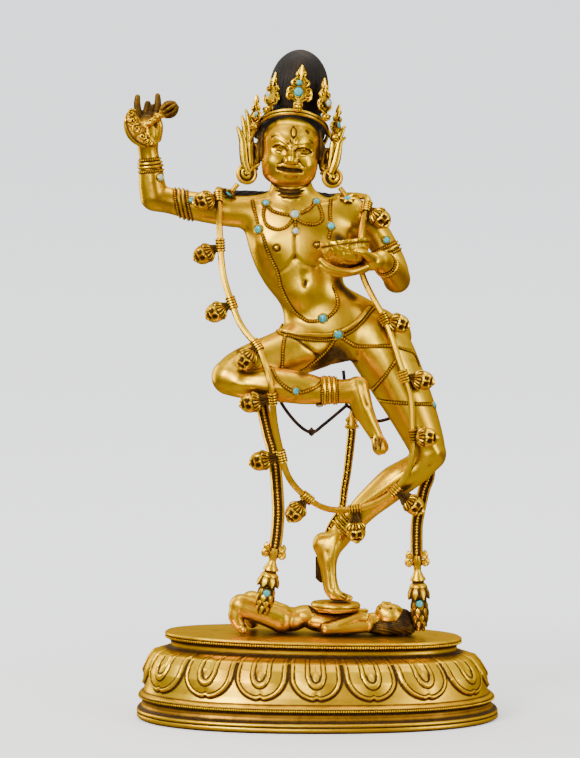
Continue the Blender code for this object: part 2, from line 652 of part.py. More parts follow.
def build_corpse(collection, cutters):
    unit = CORPSE_UNIT
    clay = Clay()
    for side in (-1, 1):
        hip = (-22, 7 * side - 1, 8.5)
        knee = (-43 + 3 * side, 9 * side - 1, 16.5)
        foot = (-42.5 + 3 * side, 12 * side - 1, 3.6)
        for run in (((*hip, 8.0), (-32, 8 * side - 1, 12.5, 7.6), (*knee, 7.2)),
                    ((*knee, 6.8), (-46 + 3 * side, 11 * side - 1, 10, 4.6), (*foot, 3.4)),
                    ((*foot, 3.2), (-40 + 3 * side, 14 * side - 1, 2.9, 2.6))):
            clay.tube([corpse_point(*p[:3]) for p in run], [p[3] * unit for p in run])
        arm = [(29, 9 * side - 1, 6.4, 4.4), (16, 12 * side - 1, 5.0, 4.0), (5, 13 * side - 1, 4.4, 3.8)]
        forearm = [(5, 13 * side - 1, 4.4, 3.6), (15, 12.5 * side - 1, 8.2, 3.2),
                   (25, 11.5 * side - 1, 11.8, 2.6), (29, 11 * side - 1, 12.6, 2.0)]
        for run in (arm, forearm):
            clay.tube([corpse_point(*p[:3]) for p in run], [p[3] * unit for p in run])
    for x, y, z, rx, ry, rz in ((-18, -1, 8, 13, 12.5, 7.5), (-7, -1, 10.6, 11, 10, 6.2), (4, -1, 7.6, 14, 12, 7),
                                (18, -1, 7.6, 15, 13.5, 7.2), (33, -1, 7.6, 7, 5.5, 5.5),
                                (45.5, -1, 11, 9.0, 8.2, 7.8), (51, 0, 7.2, 7.6, 9.4, 6.8),
                                (42, -1, 13.6, 5.6, 6.4, 5.6)):
        clay.ball(corpse_point(x, y, z), (rx * unit, ry * unit, rz * unit))
    mesh = thinned(clay.fused(BODY_VOXEL * 0.8, 3, plate_frame().translation), CORPSE_FACES)
    corpse = add_object("corpse", mesh, collection, GILT)
    frame = plate_frame()
    lower = bmesh.new()
    bmesh.ops.create_cube(lower, size=1.0, matrix=frame @ Matrix.Translation((0, 0, SEAT_GAP - 0.01))
                          @ Matrix.Diagonal((CORPSE_LENGTH * 2, CORPSE_LENGTH, 0.02, 1)))
    under = bpy.data.meshes.new("under_corpse")
    lower.to_mesh(under)
    lower.free()
    cut(corpse, add_cutter("under_corpse", under, cutters))
    seat = bmesh.new()
    middle = frame @ Matrix.Translation((DISC_PLACE[0], DISC_PLACE[1], SEAT_GAP + CORPSE_CHEST + 0.01))
    bmesh.ops.create_cone(seat, cap_ends=True, segments=32, radius1=DISC_RADIUS + REST_GAP,
                          radius2=DISC_RADIUS + REST_GAP, depth=0.02, matrix=middle)
    bed = bpy.data.meshes.new("disc_bed")
    seat.to_mesh(bed)
    seat.free()
    cut(corpse, add_cutter("disc_bed", bed, cutters))
    return corpse


def build_disc(collection):
    half = DISC_THICKNESS / 2
    edge = DISC_RADIUS
    profile = [(0, half), (0.86 * edge, half), (edge, 0.45 * half), (edge, -0.35 * half), (0.88 * edge, -half),
               (0, -half)]
    lean = Matrix.Rotation(math.radians(PLATE_LEAN_DEG), 4, "Y")
    mesh = turned_shape(profile, 20, Matrix.Translation(disc_middle()) @ lean)
    return add_object("sun_disc", mesh, collection, GILT)


def torso_rings():
    rings = []
    for x, y, height, half_width, half_depth, rise in TORSO:
        slant = math.radians(rise)
        ring = []
        for k in range(32):
            angle = 2 * math.pi * k / 32
            across = half_width * math.cos(angle)
            ring.append(place(x + across * math.cos(slant), y + half_depth * math.sin(angle),
                              height + across * math.sin(slant)))
        rings.append(ring)
    return rings


def belt_points():
    x, y, height, half_width, half_depth, rise = TORSO[2]
    slant = math.radians(rise)
    points = []
    for k in range(20):
        angle = 2 * math.pi * k / 20
        across = (half_width + 0.4) * math.cos(angle)
        forward = max(0.0, -math.sin(angle))
        points.append(place(x + across * math.cos(slant), y + (half_depth + 0.8) * math.sin(angle),
                            height - 3.5 + across * math.sin(slant) - BELT_DIP * forward))
    return points


def build_figure(collection, cutters):
    unit = FIGURE_UNIT
    clay = Clay()
    clay.loft(torso_rings())
    for run in LIMBS.values():
        clay.tube([place(*p[:3]) for p in run], [p[3] * unit for p in run])
    for x, y, z, rx, ry, rz in BODY_MASSES:
        clay.ball(place(x, y, z), (rx * unit, ry * unit, rz * unit))
    turn = Matrix.Rotation(math.radians(HEAD_TILT_DEG), 4, "Y")
    for x, y, z, rx, ry, rz in HEAD_MASSES:
        clay.ball(on_head(x, y, z), (rx * unit, ry * unit, rz * unit), turn)
    for run in HEAD_RIDGES:
        clay.tube([on_head(*p[:3]) for p in run], [p[3] * unit for p in run], sides=10)
    for x, y, z, along, radius, width in BANDS:
        clay.band(place(x, y, z), along, radius * unit, width * unit)
    clay.tube(belt_points(), [BELT_RADIUS * unit] * 20, closed=True, sides=10)
    mesh = thinned(clay.fused(BODY_VOXEL, 3, place(0, 0, 0)), FIGURE_FACES)
    figure = add_object("figure", mesh, collection, GILT)
    low = bmesh.new()
    sole = Matrix.Translation((0, 0, stand_height() - 0.01)) @ Matrix.Diagonal((0.3, 0.3, 0.02, 1))
    bmesh.ops.create_cube(low, size=1.0, matrix=sole)
    under = bpy.data.meshes.new("under_soles")
    low.to_mesh(under)
    low.free()
    cut(figure, add_cutter("under_soles", under, cutters))
    return figure


def cup_frame():
    tilt = Matrix.Rotation(math.radians(-CUP_TILT_DEG), 4, "Y")
    return Matrix.Translation(place(15.3, -40, 213.4)) @ tilt


def cup_outline(grow):
    """The bowl's profile, a little larger or smaller, from the rim down to the middle of its underside."""
    steps = 6
    points = []
    for k in range(steps):
        angle = math.pi / 2 * k / steps
        radius = (CUP_RADIUS + grow) * math.cos(angle) ** 0.8
        points.append((radius, -(CUP_HEIGHT + grow) * math.sin(angle)))
    points.append((0.0, -(CUP_HEIGHT + grow)))
    return points


def turned_shape(profile, steps, frame):
    shape = bmesh.new()
    corners = [shape.verts.new((radius, 0, height)) for radius, height in profile]
    for a, b in zip(corners, corners[1:]):
        shape.edges.new((a, b))
    mesh = bpy.data.meshes.new("profile")
    shape.to_mesh(mesh)
    shape.free()
    guide = bpy.data.objects.new("profile", mesh)
    bpy.context.scene.collection.objects.link(guide)
    turn = guide.modifiers.new("turn", "SCREW")
    turn.steps = steps
    turn.render_steps = steps
    turn.use_merge_vertices = True
    turn.merge_threshold = 0.00001
    turned = settled(guide)
    bpy.data.objects.remove(guide, do_unlink=True)
    turned.transform(frame)
    return turned


def build_cup(collection, cutters, figure):
    profile = list(reversed(cup_outline(-CUP_WALL))) + cup_outline(0.0)
    cup = add_object("skull_cup", turned_shape(profile, 14, cup_frame()), collection, GILT)
    seat = [(0, 0.01), (CUP_RADIUS + REST_GAP, 0.01)] + cup_outline(REST_GAP)
    cut(figure, add_cutter("cup_seat", turned_shape(seat, 24, cup_frame()), cutters))
    return cup


def chopper_frame():
    """The knife's own frame: x along the handle away from the blade, z across the blade."""
    along = Vector((0.83, 0, 0.56)).normalized()
    across = Vector((-0.56, 0, 0.83)).normalized()
    turn = Matrix((along, along.cross(across) * -1, across)).transposed().to_4x4()
    return Matrix.Translation(seen(-104.0, 284.0, -20.5)) @ turn


def blade_mesh(grow):
    half = BLADE_CHORD / 2
    radius = (half * half + BLADE_SAGITTA * BLADE_SAGITTA) / (2 * BLADE_SAGITTA)
    span = math.asin(min(1.0, half / radius))
    outline = []
    for k in range(13):
        angle = -span + 2 * span * k / 12
        outline.append((-(radius * math.cos(angle) - (radius - BLADE_SAGITTA)) - grow,
                        radius * math.sin(angle) * (1 + grow / radius)))
    for share in (0.55, 0.0, -0.55):
        outline.append((BLADE_THICKNESS * 0.55 * (1 - abs(share)) + grow, half * share))
    shape = bmesh.new()
    thick = BLADE_THICKNESS / 2 + grow
    back = [shape.verts.new((x, thick, z)) for x, z in outline]
    front = [shape.verts.new((x, -thick, z)) for x, z in outline]
    shape.faces.new(back)
    shape.faces.new(list(reversed(front)))
    count = len(outline)
    for i in range(count):
        j = (i + 1) % count
        shape.faces.new((back[j], back[i], front[i], front[j]))
    bmesh.ops.recalc_face_normals(shape, faces=shape.faces)
    mesh = bpy.data.meshes.new("blade")
    shape.to_mesh(mesh)
    shape.free()
    return mesh


def handle_profile(grow):
    """Handle lengths along x with radii: grip, collar, and the thunderbolt end."""
    shares = [(0.025, 0.0), (0.025, 1.0), (0.36, 1.0), (0.425, 1.7), (0.49, 1.0), (0.575, 1.4),
              (0.765, 2.5), (0.915, 2.3), (1.0, 1.2), (1.0, 0.0)]
    return [(HANDLE_RADIUS * wide + (grow if wide else 0.0), HANDLE_LENGTH * along) for along, wide in shares]


def build_chopper(collection, cutters, figure):
    frame = chopper_frame()
    upright = frame @ Matrix.Rotation(math.radians(90), 4, "Y")
    blade = bpy.data.objects.new("blade", blade_mesh(0.0))
    bpy.context.scene.collection.objects.link(blade)
    blade.data.transform(frame)
    handle = add_cutter("handle", turned_shape(handle_profile(0.0)[::-1], 10, upright), cutters)
    join = blade.modifiers.new("join", "BOOLEAN")
    join.operation = "UNION"
    join.solver = "EXACT"
    join.object = handle
    mesh = settled(blade)
    bpy.data.objects.remove(blade, do_unlink=True)
    chopper = add_object("chopper", mesh, collection, GILT)
    blade_gap = blade_mesh(REST_GAP)
    blade_gap.transform(frame)
    cut(figure, add_cutter("blade_gap", blade_gap, cutters))
    grip = turned_shape(handle_profile(REST_GAP)[::-1], 12, upright)
    cut(figure, add_cutter("grip_gap", grip, cutters))
    return chopper


def strand_points(tree, radius, gap):
    clearance = radius + gap
    points = []
    for x, height, depth, side in STRAND:
        if side == "front":
            points.append(in_front(tree, x, height, depth, clearance))
        elif side == "back":
            points.append(behind(tree, x, height, depth, clearance))
        else:
            points.append(seen(x, height, depth))
    fine = spaced(points, STRAND_RADIUS * 2, True)
    for _ in range(4):
        fine = [clear_of(tree, point, clearance) for point in fine]
        count = len(fine)
        fine = [(fine[i - 1] + 2 * fine[i] + fine[(i + 1) % count]) / 4 for i in range(count)]
    return [clear_of(tree, point, clearance) for point in fine]


def build_garland(collection, tree):
    path = strand_points(tree, STRAND_RADIUS, HANG_GAP)
    clay = Clay()
    clay.tube(path, [STRAND_RADIUS] * len(path), closed=True, sides=10)
    for knot, head in SEVERED_HEADS:
        seen_knot = seen(knot[0], knot[1], 0)
        spot = min(path, key=lambda p: (p.x - seen_knot.x) ** 2 + (p.z - seen_knot.z) ** 2
                   + (1.0 if p.y > 0.004 else 0.0))
        spot = clear_of(tree, spot, KNOT_RADIUS + HANG_GAP)
        centre = in_front(tree, head[0], head[1], spot.y / FIGURE_UNIT, SEVERED_HEAD_RADIUS + HANG_GAP)
        centre = clear_of(tree, centre, SEVERED_HEAD_RADIUS * 1.1 + HANG_GAP)
        clay.ball(spot, (KNOT_RADIUS, KNOT_RADIUS, KNOT_RADIUS))
        clay.tube([spot, centre], [KNOT_RADIUS * 0.7, KNOT_RADIUS * 0.9], sides=10)
        out = (centre - spot).to_track_quat("Z", "Y").to_matrix().to_4x4()
        size = SEVERED_HEAD_RADIUS
        clay.ball(centre, (size * 0.9, size * 0.92, size * 1.08), out)
    mesh = thinned(clay.fused(TRINKET_VOXEL, 1, place(0, 0, 0)), GARLAND_FACES)
    return add_object("head_garland", mesh, collection, GILT)


def strap_mesh(run, finial, tree, down, stretch):
    """A flat strap along its run with a turned ornament hanging under it."""
    sides = 8
    outset = 1.05
    clearance = STRAP_HALF_WIDTH * 0.6 + HANG_GAP
    path = [clear_of(tree, seen(*spot[:3]), clearance) for spot in run]
    rings = []
    for i, point in enumerate(path):
        ahead = path[min(i + 1, len(path) - 1)] - path[max(i - 1, 0)]
        across = ahead.cross(Vector((0, 1, 0))).normalized()
        facing = across.cross(ahead).normalized()
        rings.append((point, across * STRAP_HALF_WIDTH * run[i][3], facing * STRAP_HALF_DEPTH))
    start = path[-1]
    forward = Vector((0, -HANG_GAP / 2, 0))
    while any(too_near(tree, start + down * item[0] * stretch * FIGURE_UNIT, item[1] * FIGURE_UNIT, REST_GAP)
              for item in finial):
        start = start + forward
    for distance, half_width, half_depth in finial:
        centre = start + down * distance * stretch * FIGURE_UNIT
        rings.append((centre, Vector((1, 0, 0)) * half_width * FIGURE_UNIT,
                      Vector((0, 1, 0)) * half_depth * FIGURE_UNIT))
    clay = Clay()
    loops = []
    for centre, across, facing in rings:
        loop = []
        for k in range(sides):
            angle = 2 * math.pi * (k + 0.5) / sides
            loop.append(centre + across * math.cos(angle) * outset + facing * math.sin(angle) * outset)
        loops.append(loop)
    clay.loft(loops)
    return clay.take()


def build_straps(collection, tree):
    for name, run, finial, lean, stretch in (("pendant_right", RIGHT_STRAP, FINIAL, -0.19, 0.97),
                                             ("pendant_left", LEFT_STRAP, FINIAL, 0.05, 1.1),
                                             ("pendant_back", BACK_STRAP, BACK_TASSEL, -0.08, 1.0)):
        mesh = strap_mesh(run, finial, tree, Vector((lean, 0, -1)), stretch)
        add_object(name, mesh, collection, GILT)


def build_swag(collection, tree):
    clay = Clay()
    clearance = SWAG_RADIUS + HANG_GAP
    for cord in SWAG_CORDS:
        points = [clear_of(tree, seen(*spot), clearance) for spot in cord]
        clay.tube(points, [SWAG_RADIUS] * len(points), sides=8)
    mesh = thinned(clay.fused(TRINKET_VOXEL * 0.75, 0, place(0, 0, 0)), SWAG_FACES)
    return add_object("back_swag", mesh, collection, DARK_IRON)


def leaf_rings(x, y, foot, height, half_width, turn):
    """A crown leaf as flat rings from its foot to its tip, in the head's frame."""
    angle = math.radians(turn)
    across = Vector((math.cos(angle), math.sin(angle), 0))
    facing = Vector((-math.sin(angle), math.cos(angle), 0))
    shape = [(0.0, 0.42), (0.14, 0.50), (0.2, 0.38), (0.3, 0.80), (0.42, 1.0), (0.54, 0.74), (0.66, 0.68),
             (0.8, 0.36), (1.0, 0.10)]
    rings = []
    for up, wide in shape:
        ring = []
        for k in range(12):
            a = 2 * math.pi * k / 12
            local = (Vector((x, y + 2.0 * up * up, foot + height * up)) + across * half_width * wide * math.cos(a)
                     + facing * 1.3 * (0.5 + 0.5 * wide) * math.sin(a))
            ring.append(on_head(*local))
        rings.append(ring)
    return rings


def build_crown(collection, tree):
    unit = FIGURE_UNIT
    clay = Clay()
    x0, y0, z0, rx, ry, tip_back = CROWN_BAND
    slope = math.radians(tip_back)
    band = []
    for k in range(36):
        angle = 2 * math.pi * k / 36
        forward = -math.sin(angle) * ry
        spot = on_head(x0 + rx * math.cos(angle), y0 - forward * math.cos(slope), z0 + forward * math.sin(slope))
        near, normal, _, _ = tree.find_nearest(spot)
        pull = min(1.0, max(0.0, -forward / ry * 2))
        spot = spot.lerp(near + normal * (1.7 * unit + REST_GAP), pull)
        band.append(clear_of(tree, spot, 1.7 * unit + REST_GAP))
    clay.tube(band, [1.5 * unit] * len(band), closed=True, sides=10)
    for leaf in CROWN_LEAVES:
        clay.loft(leaf_rings(*leaf))
        x, y, foot, height, half_width, turn = leaf
        clay.ball(on_head(x, y - 0.4, foot + 1.5), (2.6 * unit, 2.2 * unit, 2.8 * unit))
    ribbons = [
        ([(-39.3, 281, -2, 2.4), (-43, 268, -4, 2.6), (-43, 262, -5, 2.4)],
         [(-43, 268, -4, 1.6), (-45, 280, -3, 2.0), (-44.5, 291, -3, 1.2)],
         [(-44, 274, -4, 1.2), (-47.6, 283.5, -4, 1.0)]),
        ([(11, 275, -1, 2.4), (11.6, 264, -3, 2.6), (10.5, 260, -4, 2.4)],
         [(11.6, 266, -3, 1.6), (14, 276, -3, 2.0), (16.2, 283.5, -3, 1.1)],
         [(12.6, 270, -3, 1.2), (16.2, 276.5, -3, 1.0)]),
    ]
    for side in ribbons:
        for run in side:
            clay.tube([seen(p[0], p[1], p[2]) for p in run], [p[3] * unit for p in run], sides=10)
    clay.tube([on_head(22, -2, 32), on_head(27.3, -6, 29)], [2.0 * unit, 2.0 * unit], sides=10)
    for leaf, side in ((CROWN_LEAVES[4], ribbons[0]), (CROWN_LEAVES[3], ribbons[1])):
        start = on_head(leaf[0], leaf[1], leaf[2])
        first = side[0][0]
        clay.tube([start, seen(first[0], first[1], first[2])], [2.0 * unit, 2.2 * unit], sides=10)
    mesh = stood_off(clay.fused(TRINKET_VOXEL, 1, place(0, 0, 0)), tree, TRINKET_VOXEL)
    return add_object("crown", thinned(mesh, CROWN_FACES), collection, GILT)


def build_earring(name, ring, flower, collection, tree):
    unit = FIGURE_UNIT
    clay = Clay()
    centre = clear_of(tree, seen(*ring), RING_RADIUS * 0.55 + HANG_GAP)
    loop = []
    for k in range(20):
        angle = 2 * math.pi * k / 20
        loop.append(centre + Vector((math.cos(angle), 0.15 * math.cos(angle), math.sin(angle))) * RING_RADIUS)
    clay.tube(loop, [RING_WIRE] * 20, closed=True, sides=10)
    clay.ball(centre, (1.9 * unit, 1.5 * unit, 1.9 * unit))
    clay.band(centre, (0, 1, 0), RING_RADIUS, 1.2 * unit)
    bloom = clear_of(tree, seen(*flower), 3.2 * unit + HANG_GAP)
    clay.tube([centre + (bloom - centre) * 0.5, bloom], [1.6 * unit, 2.4 * unit], sides=10)
    clay.ball(bloom, (3.4 * unit, 2.2 * unit, 3.0 * unit))
    mesh = stood_off(clay.fused(TRINKET_VOXEL, 1, place(0, 0, 0)), tree, TRINKET_VOXEL)
    return add_object(name, thinned(mesh, EARRING_FACES), collection, GILT)


def dome_mesh(radius, sides):
    """A low domed stone with its flat side down at z = 0."""
    shape = bmesh.new()
    low = []
    mid = []
    for k in range(sides):
        angle = 2 * math.pi * k / sides
        c = math.cos(angle)
        s = math.sin(angle)
        low.append(shape.verts.new((radius * c, radius * s, 0)))
        mid.append(shape.verts.new((radius * 0.72 * c, radius * 0.72 * s, radius * STONE_RISE * 0.75)))
    top = shape.verts.new((0, 0, radius * STONE_RISE))
    for i in range(sides):
        j = (i + 1) % sides
        shape.faces.new((low[i], low[j], mid[j], mid[i]))
        shape.faces.new((mid[i], mid[j], top))
    shape.faces.new(list(reversed(low)))
    mesh = bpy.data.meshes.new("stone")
    shape.to_mesh(mesh)
    shape.free()
    return mesh


def build_stone(name, x, height, radius, pale, collection, tree):
    size = radius * FIGURE_UNIT
    start = sight_point()
    aim = seen(x, height, 0)
    hit, normal, _, _ = tree.ray_cast(start, (aim - start).normalized())
    if hit is None:
        hit, normal, _, _ = tree.find_nearest(seen(x, height, -10))
    mesh = dome_mesh(size, 8 if radius > 2.4 else 6)
    turn = normal.to_track_quat("Z", "Y").to_matrix().to_4x4()
    mesh.transform(Matrix.Translation(hit + normal * SEAT_GAP) @ turn)
    for _ in range(30):
        lift = 0.0
        for vertex in mesh.vertices:
            near, face, _, distance = tree.find_nearest(vertex.co)
            signed = math.copysign(distance, (vertex.co - near).dot(face))
            lift = max(lift, SEAT_GAP - signed)
        if lift <= 1e-6:
            break
        mesh.transform(Matrix.Translation(normal * (lift + 1e-5)))
    return add_object(name, mesh, collection, PALE_STONE if pale else TURQUOISE)


def main():
    clear_scene()
    collection = new_collection("vajravarahi_statue")
    cutters = new_collection("cutters")
    base = build_base(collection)
    corpse = build_corpse(collection, cutters)
    build_disc(collection)
    figure = build_figure(collection, cutters)
    build_cup(collection, cutters, figure)
    build_chopper(collection, cutters, figure)
    body = skin_tree(figure)
    ground = skin_tree(figure, base, corpse)
    garland = build_garland(collection, body)
    build_straps(collection, ground)
    build_swag(collection, body)
    crown = build_crown(collection, body)
    right = build_earring("earring_right", (-42.4, 254.4, -5), (-51, 247, -6), collection, body)
    left = build_earring("earring_left", (8.8, 251.7, -5), (16, 242.5, -6), collection, body)
    dressed = [figure, crown, right, left, garland]
    dressed += [bpy.data.objects[name] for name in ("pendant_right", "pendant_left", "lotus_base")]
    dressed_tree = skin_tree(*dressed)
    for name, x, height, radius, pale in STONES:
        build_stone(name, x, height, radius, pale, collection, dressed_tree)


main()
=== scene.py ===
"""Looks of the gilt copper dancing dakini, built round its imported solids."""

import json
import math

import bmesh
import bpy
import numpy as np
from mathutils import Matrix, Vector
from mathutils.bvhtree import BVHTree

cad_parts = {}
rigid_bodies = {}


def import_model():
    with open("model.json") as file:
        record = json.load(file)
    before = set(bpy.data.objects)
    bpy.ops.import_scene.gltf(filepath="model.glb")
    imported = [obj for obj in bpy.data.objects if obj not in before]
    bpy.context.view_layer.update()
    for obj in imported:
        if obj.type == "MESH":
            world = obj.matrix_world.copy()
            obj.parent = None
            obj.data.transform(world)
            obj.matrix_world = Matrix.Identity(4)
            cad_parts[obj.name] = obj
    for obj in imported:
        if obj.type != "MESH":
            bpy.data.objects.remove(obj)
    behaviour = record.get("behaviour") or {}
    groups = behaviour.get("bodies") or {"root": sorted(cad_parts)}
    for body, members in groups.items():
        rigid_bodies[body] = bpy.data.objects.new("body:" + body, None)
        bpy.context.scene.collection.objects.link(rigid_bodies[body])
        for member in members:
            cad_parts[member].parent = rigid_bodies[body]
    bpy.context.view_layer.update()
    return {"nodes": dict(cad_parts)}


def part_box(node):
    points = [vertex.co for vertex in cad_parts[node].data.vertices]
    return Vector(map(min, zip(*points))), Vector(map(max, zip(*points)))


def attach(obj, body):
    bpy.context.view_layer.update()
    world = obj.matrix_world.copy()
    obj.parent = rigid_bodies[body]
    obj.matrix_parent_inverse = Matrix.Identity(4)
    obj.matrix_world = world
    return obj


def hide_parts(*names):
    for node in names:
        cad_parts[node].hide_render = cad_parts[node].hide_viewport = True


for thing in list(bpy.data.objects):
    bpy.data.objects.remove(thing, do_unlink=True)
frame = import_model()

MM = 0.001
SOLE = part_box("figure")[0].z
BASE_TOP = 0.0492
PLATE_LEAN = math.radians(1.2)
EYE = Vector((-0.0165, -1.320, 0.228))
PIXEL = 0.0006
DOWN_Y = Vector((0, -1, 0))
UP = Vector((0, 0, 1))

# Torso sections, bottom to top: centre x, y, height, half width, half depth, rise of the right side in degrees
TORSO = [
    (15, 1, 143, 20, 14, 12), (12, 2, 158, 30, 17.5, 16), (7, 2, 171, 28, 17.5, 17),
    (-2.5, 1, 182.5, 20.5, 14, 18),
    (-7.5, 0, 191.5, 23.5, 15.5, 10), (-9, 0, 201.5, 28.5, 17, 5), (-9.5, 0, 213, 32.5, 18, 2),
    (-10, 0, 224, 34, 17, 0), (-11, 1, 234.5, 31, 14, 0), (-14, 2, 242, 19, 12, 0),
    (-15.5, 1, 248, 12.8, 12, 0),
    (-16.3, 0, 258, 12.2, 12, 0),
]

# Limbs as runs of x, y, height and radius
LIMBS = [
    [(-28, 1, 234, 10.5), (-38, 0, 233, 10.2), (-48, -1, 233, 9.7), (-60, -2, 234.3, 9.2),
     (-75, -4, 236.5, 8.5), (-88, -5, 239.3, 7.8), (-97, -6, 241, 8.2)],
    [(-97.5, -6, 241.5, 8.4), (-98.7, -7, 249, 8.0), (-99.2, -8, 256, 7.4), (-100, -9, 263, 6.3),
     (-100.7, -10, 268, 6.0), (-101, -11, 273, 6.5)],
    [(14, 1, 233, 11), (21, 1, 231.5, 11), (28, 1, 227, 9.6), (35, 2, 219.5, 8.9), (41, 2, 210, 8.4),
     (45.5, 1, 200.5, 8.3), (47.5, -1, 192.5, 8.2)],
    [(47.5, -1, 192.5, 8.2), (46.5, -9, 194, 8.0), (43, -19, 197.5, 7.4), (39.5, -27, 200.7, 6.4),
     (36.5, -33, 203, 6.0)],
    [(-2, -1, 155, 16.5), (-12, -5, 151, 16), (-22, -9, 147, 15), (-34, -14, 143, 13.8),
     (-46, -20, 138.5, 12),
     (-52, -24, 134.5, 10.6)],
    [(-52, -25, 134, 10.4), (-46, -28, 131.5, 9.4), (-41.4, -29, 130.4, 8.8), (-27, -31, 130.3, 10.0),
     (-9.2, -31, 128, 9.5), (0.6, -30, 126.6, 8.2), (7.4, -29, 127, 7.4), (14, -28, 126, 7.2),
     (22.5, -28, 127.5, 6.8)],
    [(23.1, -28, 128.2, 7.0), (24.5, -28, 121.8, 6.8), (27.1, -28, 114, 6.0), (31, -28, 106, 4.9),
     (34.4, -28.5, 99.3, 4.0), (35.6, -29, 94.8, 3.2)],
    [(33, 2, 158, 18.5), (40.5, 0, 146, 18.5), (48, -2, 131.5, 16.8), (54.5, -4, 118.5, 15),
     (60, -6, 106, 13.2), (64, -8, 96, 11.6), (66.3, -9, 88.5, 10.4)],
    [(66.3, -9, 88, 10.2), (60.5, -8, 81, 9.2), (54, -7, 76.2, 9.7), (46, -5, 71, 10.2), (38, -3, 64.2, 9.5),
     (30, -1, 57, 8.5), (23, 0, 49.5, 7.7), (16, 1, 41.5, 7.4), (12, 1, 36, 7.0)],
    [(11, -3, 36, 6.2), (6.8, -4.5, 26, 5.6), (6.9, -5, 19, 5.0), (7.8, -6, 11, 4.5), (9.6, -7, 5.0, 4.5),
     (14, -8, 2.9, 2.9), (17.5, -8.5, 2.2, 2.2)],
    [(11, 2, 36, 6.2), (6.6, 2, 26, 5.6), (6.3, 1.5, 19, 5.0), (7.2, 1, 11, 4.5), (9.2, 0, 5.0, 4.5),
     (13.5, 0, 2.8, 2.8), (16.5, 0.3, 2.1, 2.1)],
]
TOES = [
    [(33.6, -31.5, 97, 2.6), (34.2, -32.5, 92.5, 2.6), (35.5, -32, 90.6, 2.2)],
    [(36.4, -31.8, 97, 2.4), (37.6, -32.4, 92.2, 2.4), (38.2, -31.6, 90.8, 2.0)],
    [(37.8, -29, 97.5, 2.2), (39.6, -29.6, 93.5, 2.2), (40, -29, 92.2, 1.8)],
    [(34.6, -28, 97, 2.6), (35.8, -27.6, 92.6, 2.4), (37.4, -27, 91, 2.0)],
    [(13, -8.5, 3.4, 2.4), (17, -9.6, 2.4, 2.1), (19.6, -10, 2.0, 1.7)],
    [(13, -5.6, 3.6, 2.4), (17.6, -5.8, 2.5, 2.0), (20, -6, 2.0, 1.6)],
    [(12.6, -2.8, 3.6, 2.4), (17.2, -2.4, 2.4, 2.0), (19.2, -2.2, 2.0, 1.5)],
    [(12.2, 0, 3.4, 2.3), (16.4, 0.8, 2.3, 1.9), (18.2, 1.2, 1.9, 1.4)],
]
RIGHT_FINGERS = [
    [(-104.5, -11, 284, 2.7), (-106.4, -11.4, 290, 2.4), (-107.2, -11.4, 296, 2.2), (-107, -11, 300.5, 1.7)],
    [(-101, -10, 284, 2.7), (-101.8, -9.6, 291, 2.4), (-101, -10.5, 296.5, 2.0)],
    [(-98.4, -11, 284, 2.6), (-98, -10.6, 290, 2.3), (-97.6, -11.6, 294.5, 1.9)],
    [(-96, -12, 283, 2.6), (-95.3, -13, 290, 2.4), (-94.8, -13.4, 296, 2.2), (-94.9, -13, 301, 1.7)],
    [(-95.5, -13, 276, 3.0), (-94, -15, 283, 2.5), (-96, -16.4, 289.5, 2.0)],
]
LEFT_FINGERS = [
    [(28, -40, 199, 2.9), (20, -46, 196, 2.4), (12, -48.5, 196.3, 2.2), (5, -49, 199, 2.0),
     (1.2, -49, 202.4, 1.5)],
    [(27, -37, 198, 2.7), (15, -41, 195, 2.4), (7, -42, 196, 2.2), (2, -42.5, 199, 1.7)],
    [(26, -34, 199, 2.7), (14, -34.5, 196.3, 2.4), (6, -35, 198.3, 1.9)],
    [(31, -42, 203, 2.9), (26, -50, 206.5, 2.3), (21.5, -53.5, 207.4, 1.8)],
]
BODY_MASSES = [
    (31, -37, 202, 7.5, 6.5, 5.5), (40, 8, 158, 17, 14, 15), (0, 8, 153, 15, 13, 14),
    (4, 2, 34.5, 6.8, 6.5, 6.5),
    (-97.5, -6, 241.5, 8.4, 8.2, 8.4), (47.5, -1, 192.5, 8.3, 8.2, 8.3),
    (-52.5, -24, 134.5, 10.4, 10.4, 10.6),
    (66.3, -9, 88.5, 10.6, 10.6, 10.6), (-24, -10.2, 214, 15, 7.2, 9), (6, -10.2, 214, 15, 7.2, 9),
    (-5, -8, 187, 18, 8.6, 15), (-101, -12, 280, 7.4, 5.4, 10), (3.4, -1.4, 33.5, 7.0, 6.6, 7.6),
    (5.5, -2, 26, 6.2, 5.6, 8),
]

# Head masses in the head's own frame, whose origin is the top of the neck
HEAD_PLACE = (-17.3, 0, 253)
HEAD_TILT = math.radians(4)
FACE_MASSES = [(0, -2, 17, 17.6, 19.2, 21), (0, -6, 3.4, 16.3, 12.8, 9.4), (-7.5, -7.4, 8, 9.6, 10.6, 9),
               (7.5, -7.4, 8, 9.6, 10.6, 9), (0, -2.8, 20.3, 17.6, 19.0, 17.6), (0, 8, 14, 15, 12, 20),
               (-19, 0, 14.4, 2.2, 4.5, 9), (19, 0, 14.4, 2.2, 4.5, 9)]
HAIR_MASSES = [(0, 5.4, 29.8, 20.0, 18.6, 17.0), (0, 10.5, 12, 14.6, 11, 17),
               (2.3, 4, 54.2, 17.8, 17.8, 23.7)]


def place(x, y, height):
    return Vector((x * MM, y * MM, SOLE + height * MM))


def seen(x, height, depth):
    """A place read on the middle plane, moved along the front line of sight to its depth."""
    flat = place(x, 0, height)
    return flat + (flat - EYE) * (depth * MM / (flat.y - EYE.y))


def pixel(px, py, depth):
    """The place at a depth, in millimetres behind the middle plane, that shows at a spot of the photograph."""
    return seen((px - 317.5) * 0.6, (601 - py) * 0.6, depth)


def through(px, py):
    """The direction from the eye to a spot of the photograph."""
    return (Vector(((px - 317.5) * PIXEL, 0, (716 - py) * PIXEL)) - EYE).normalized()


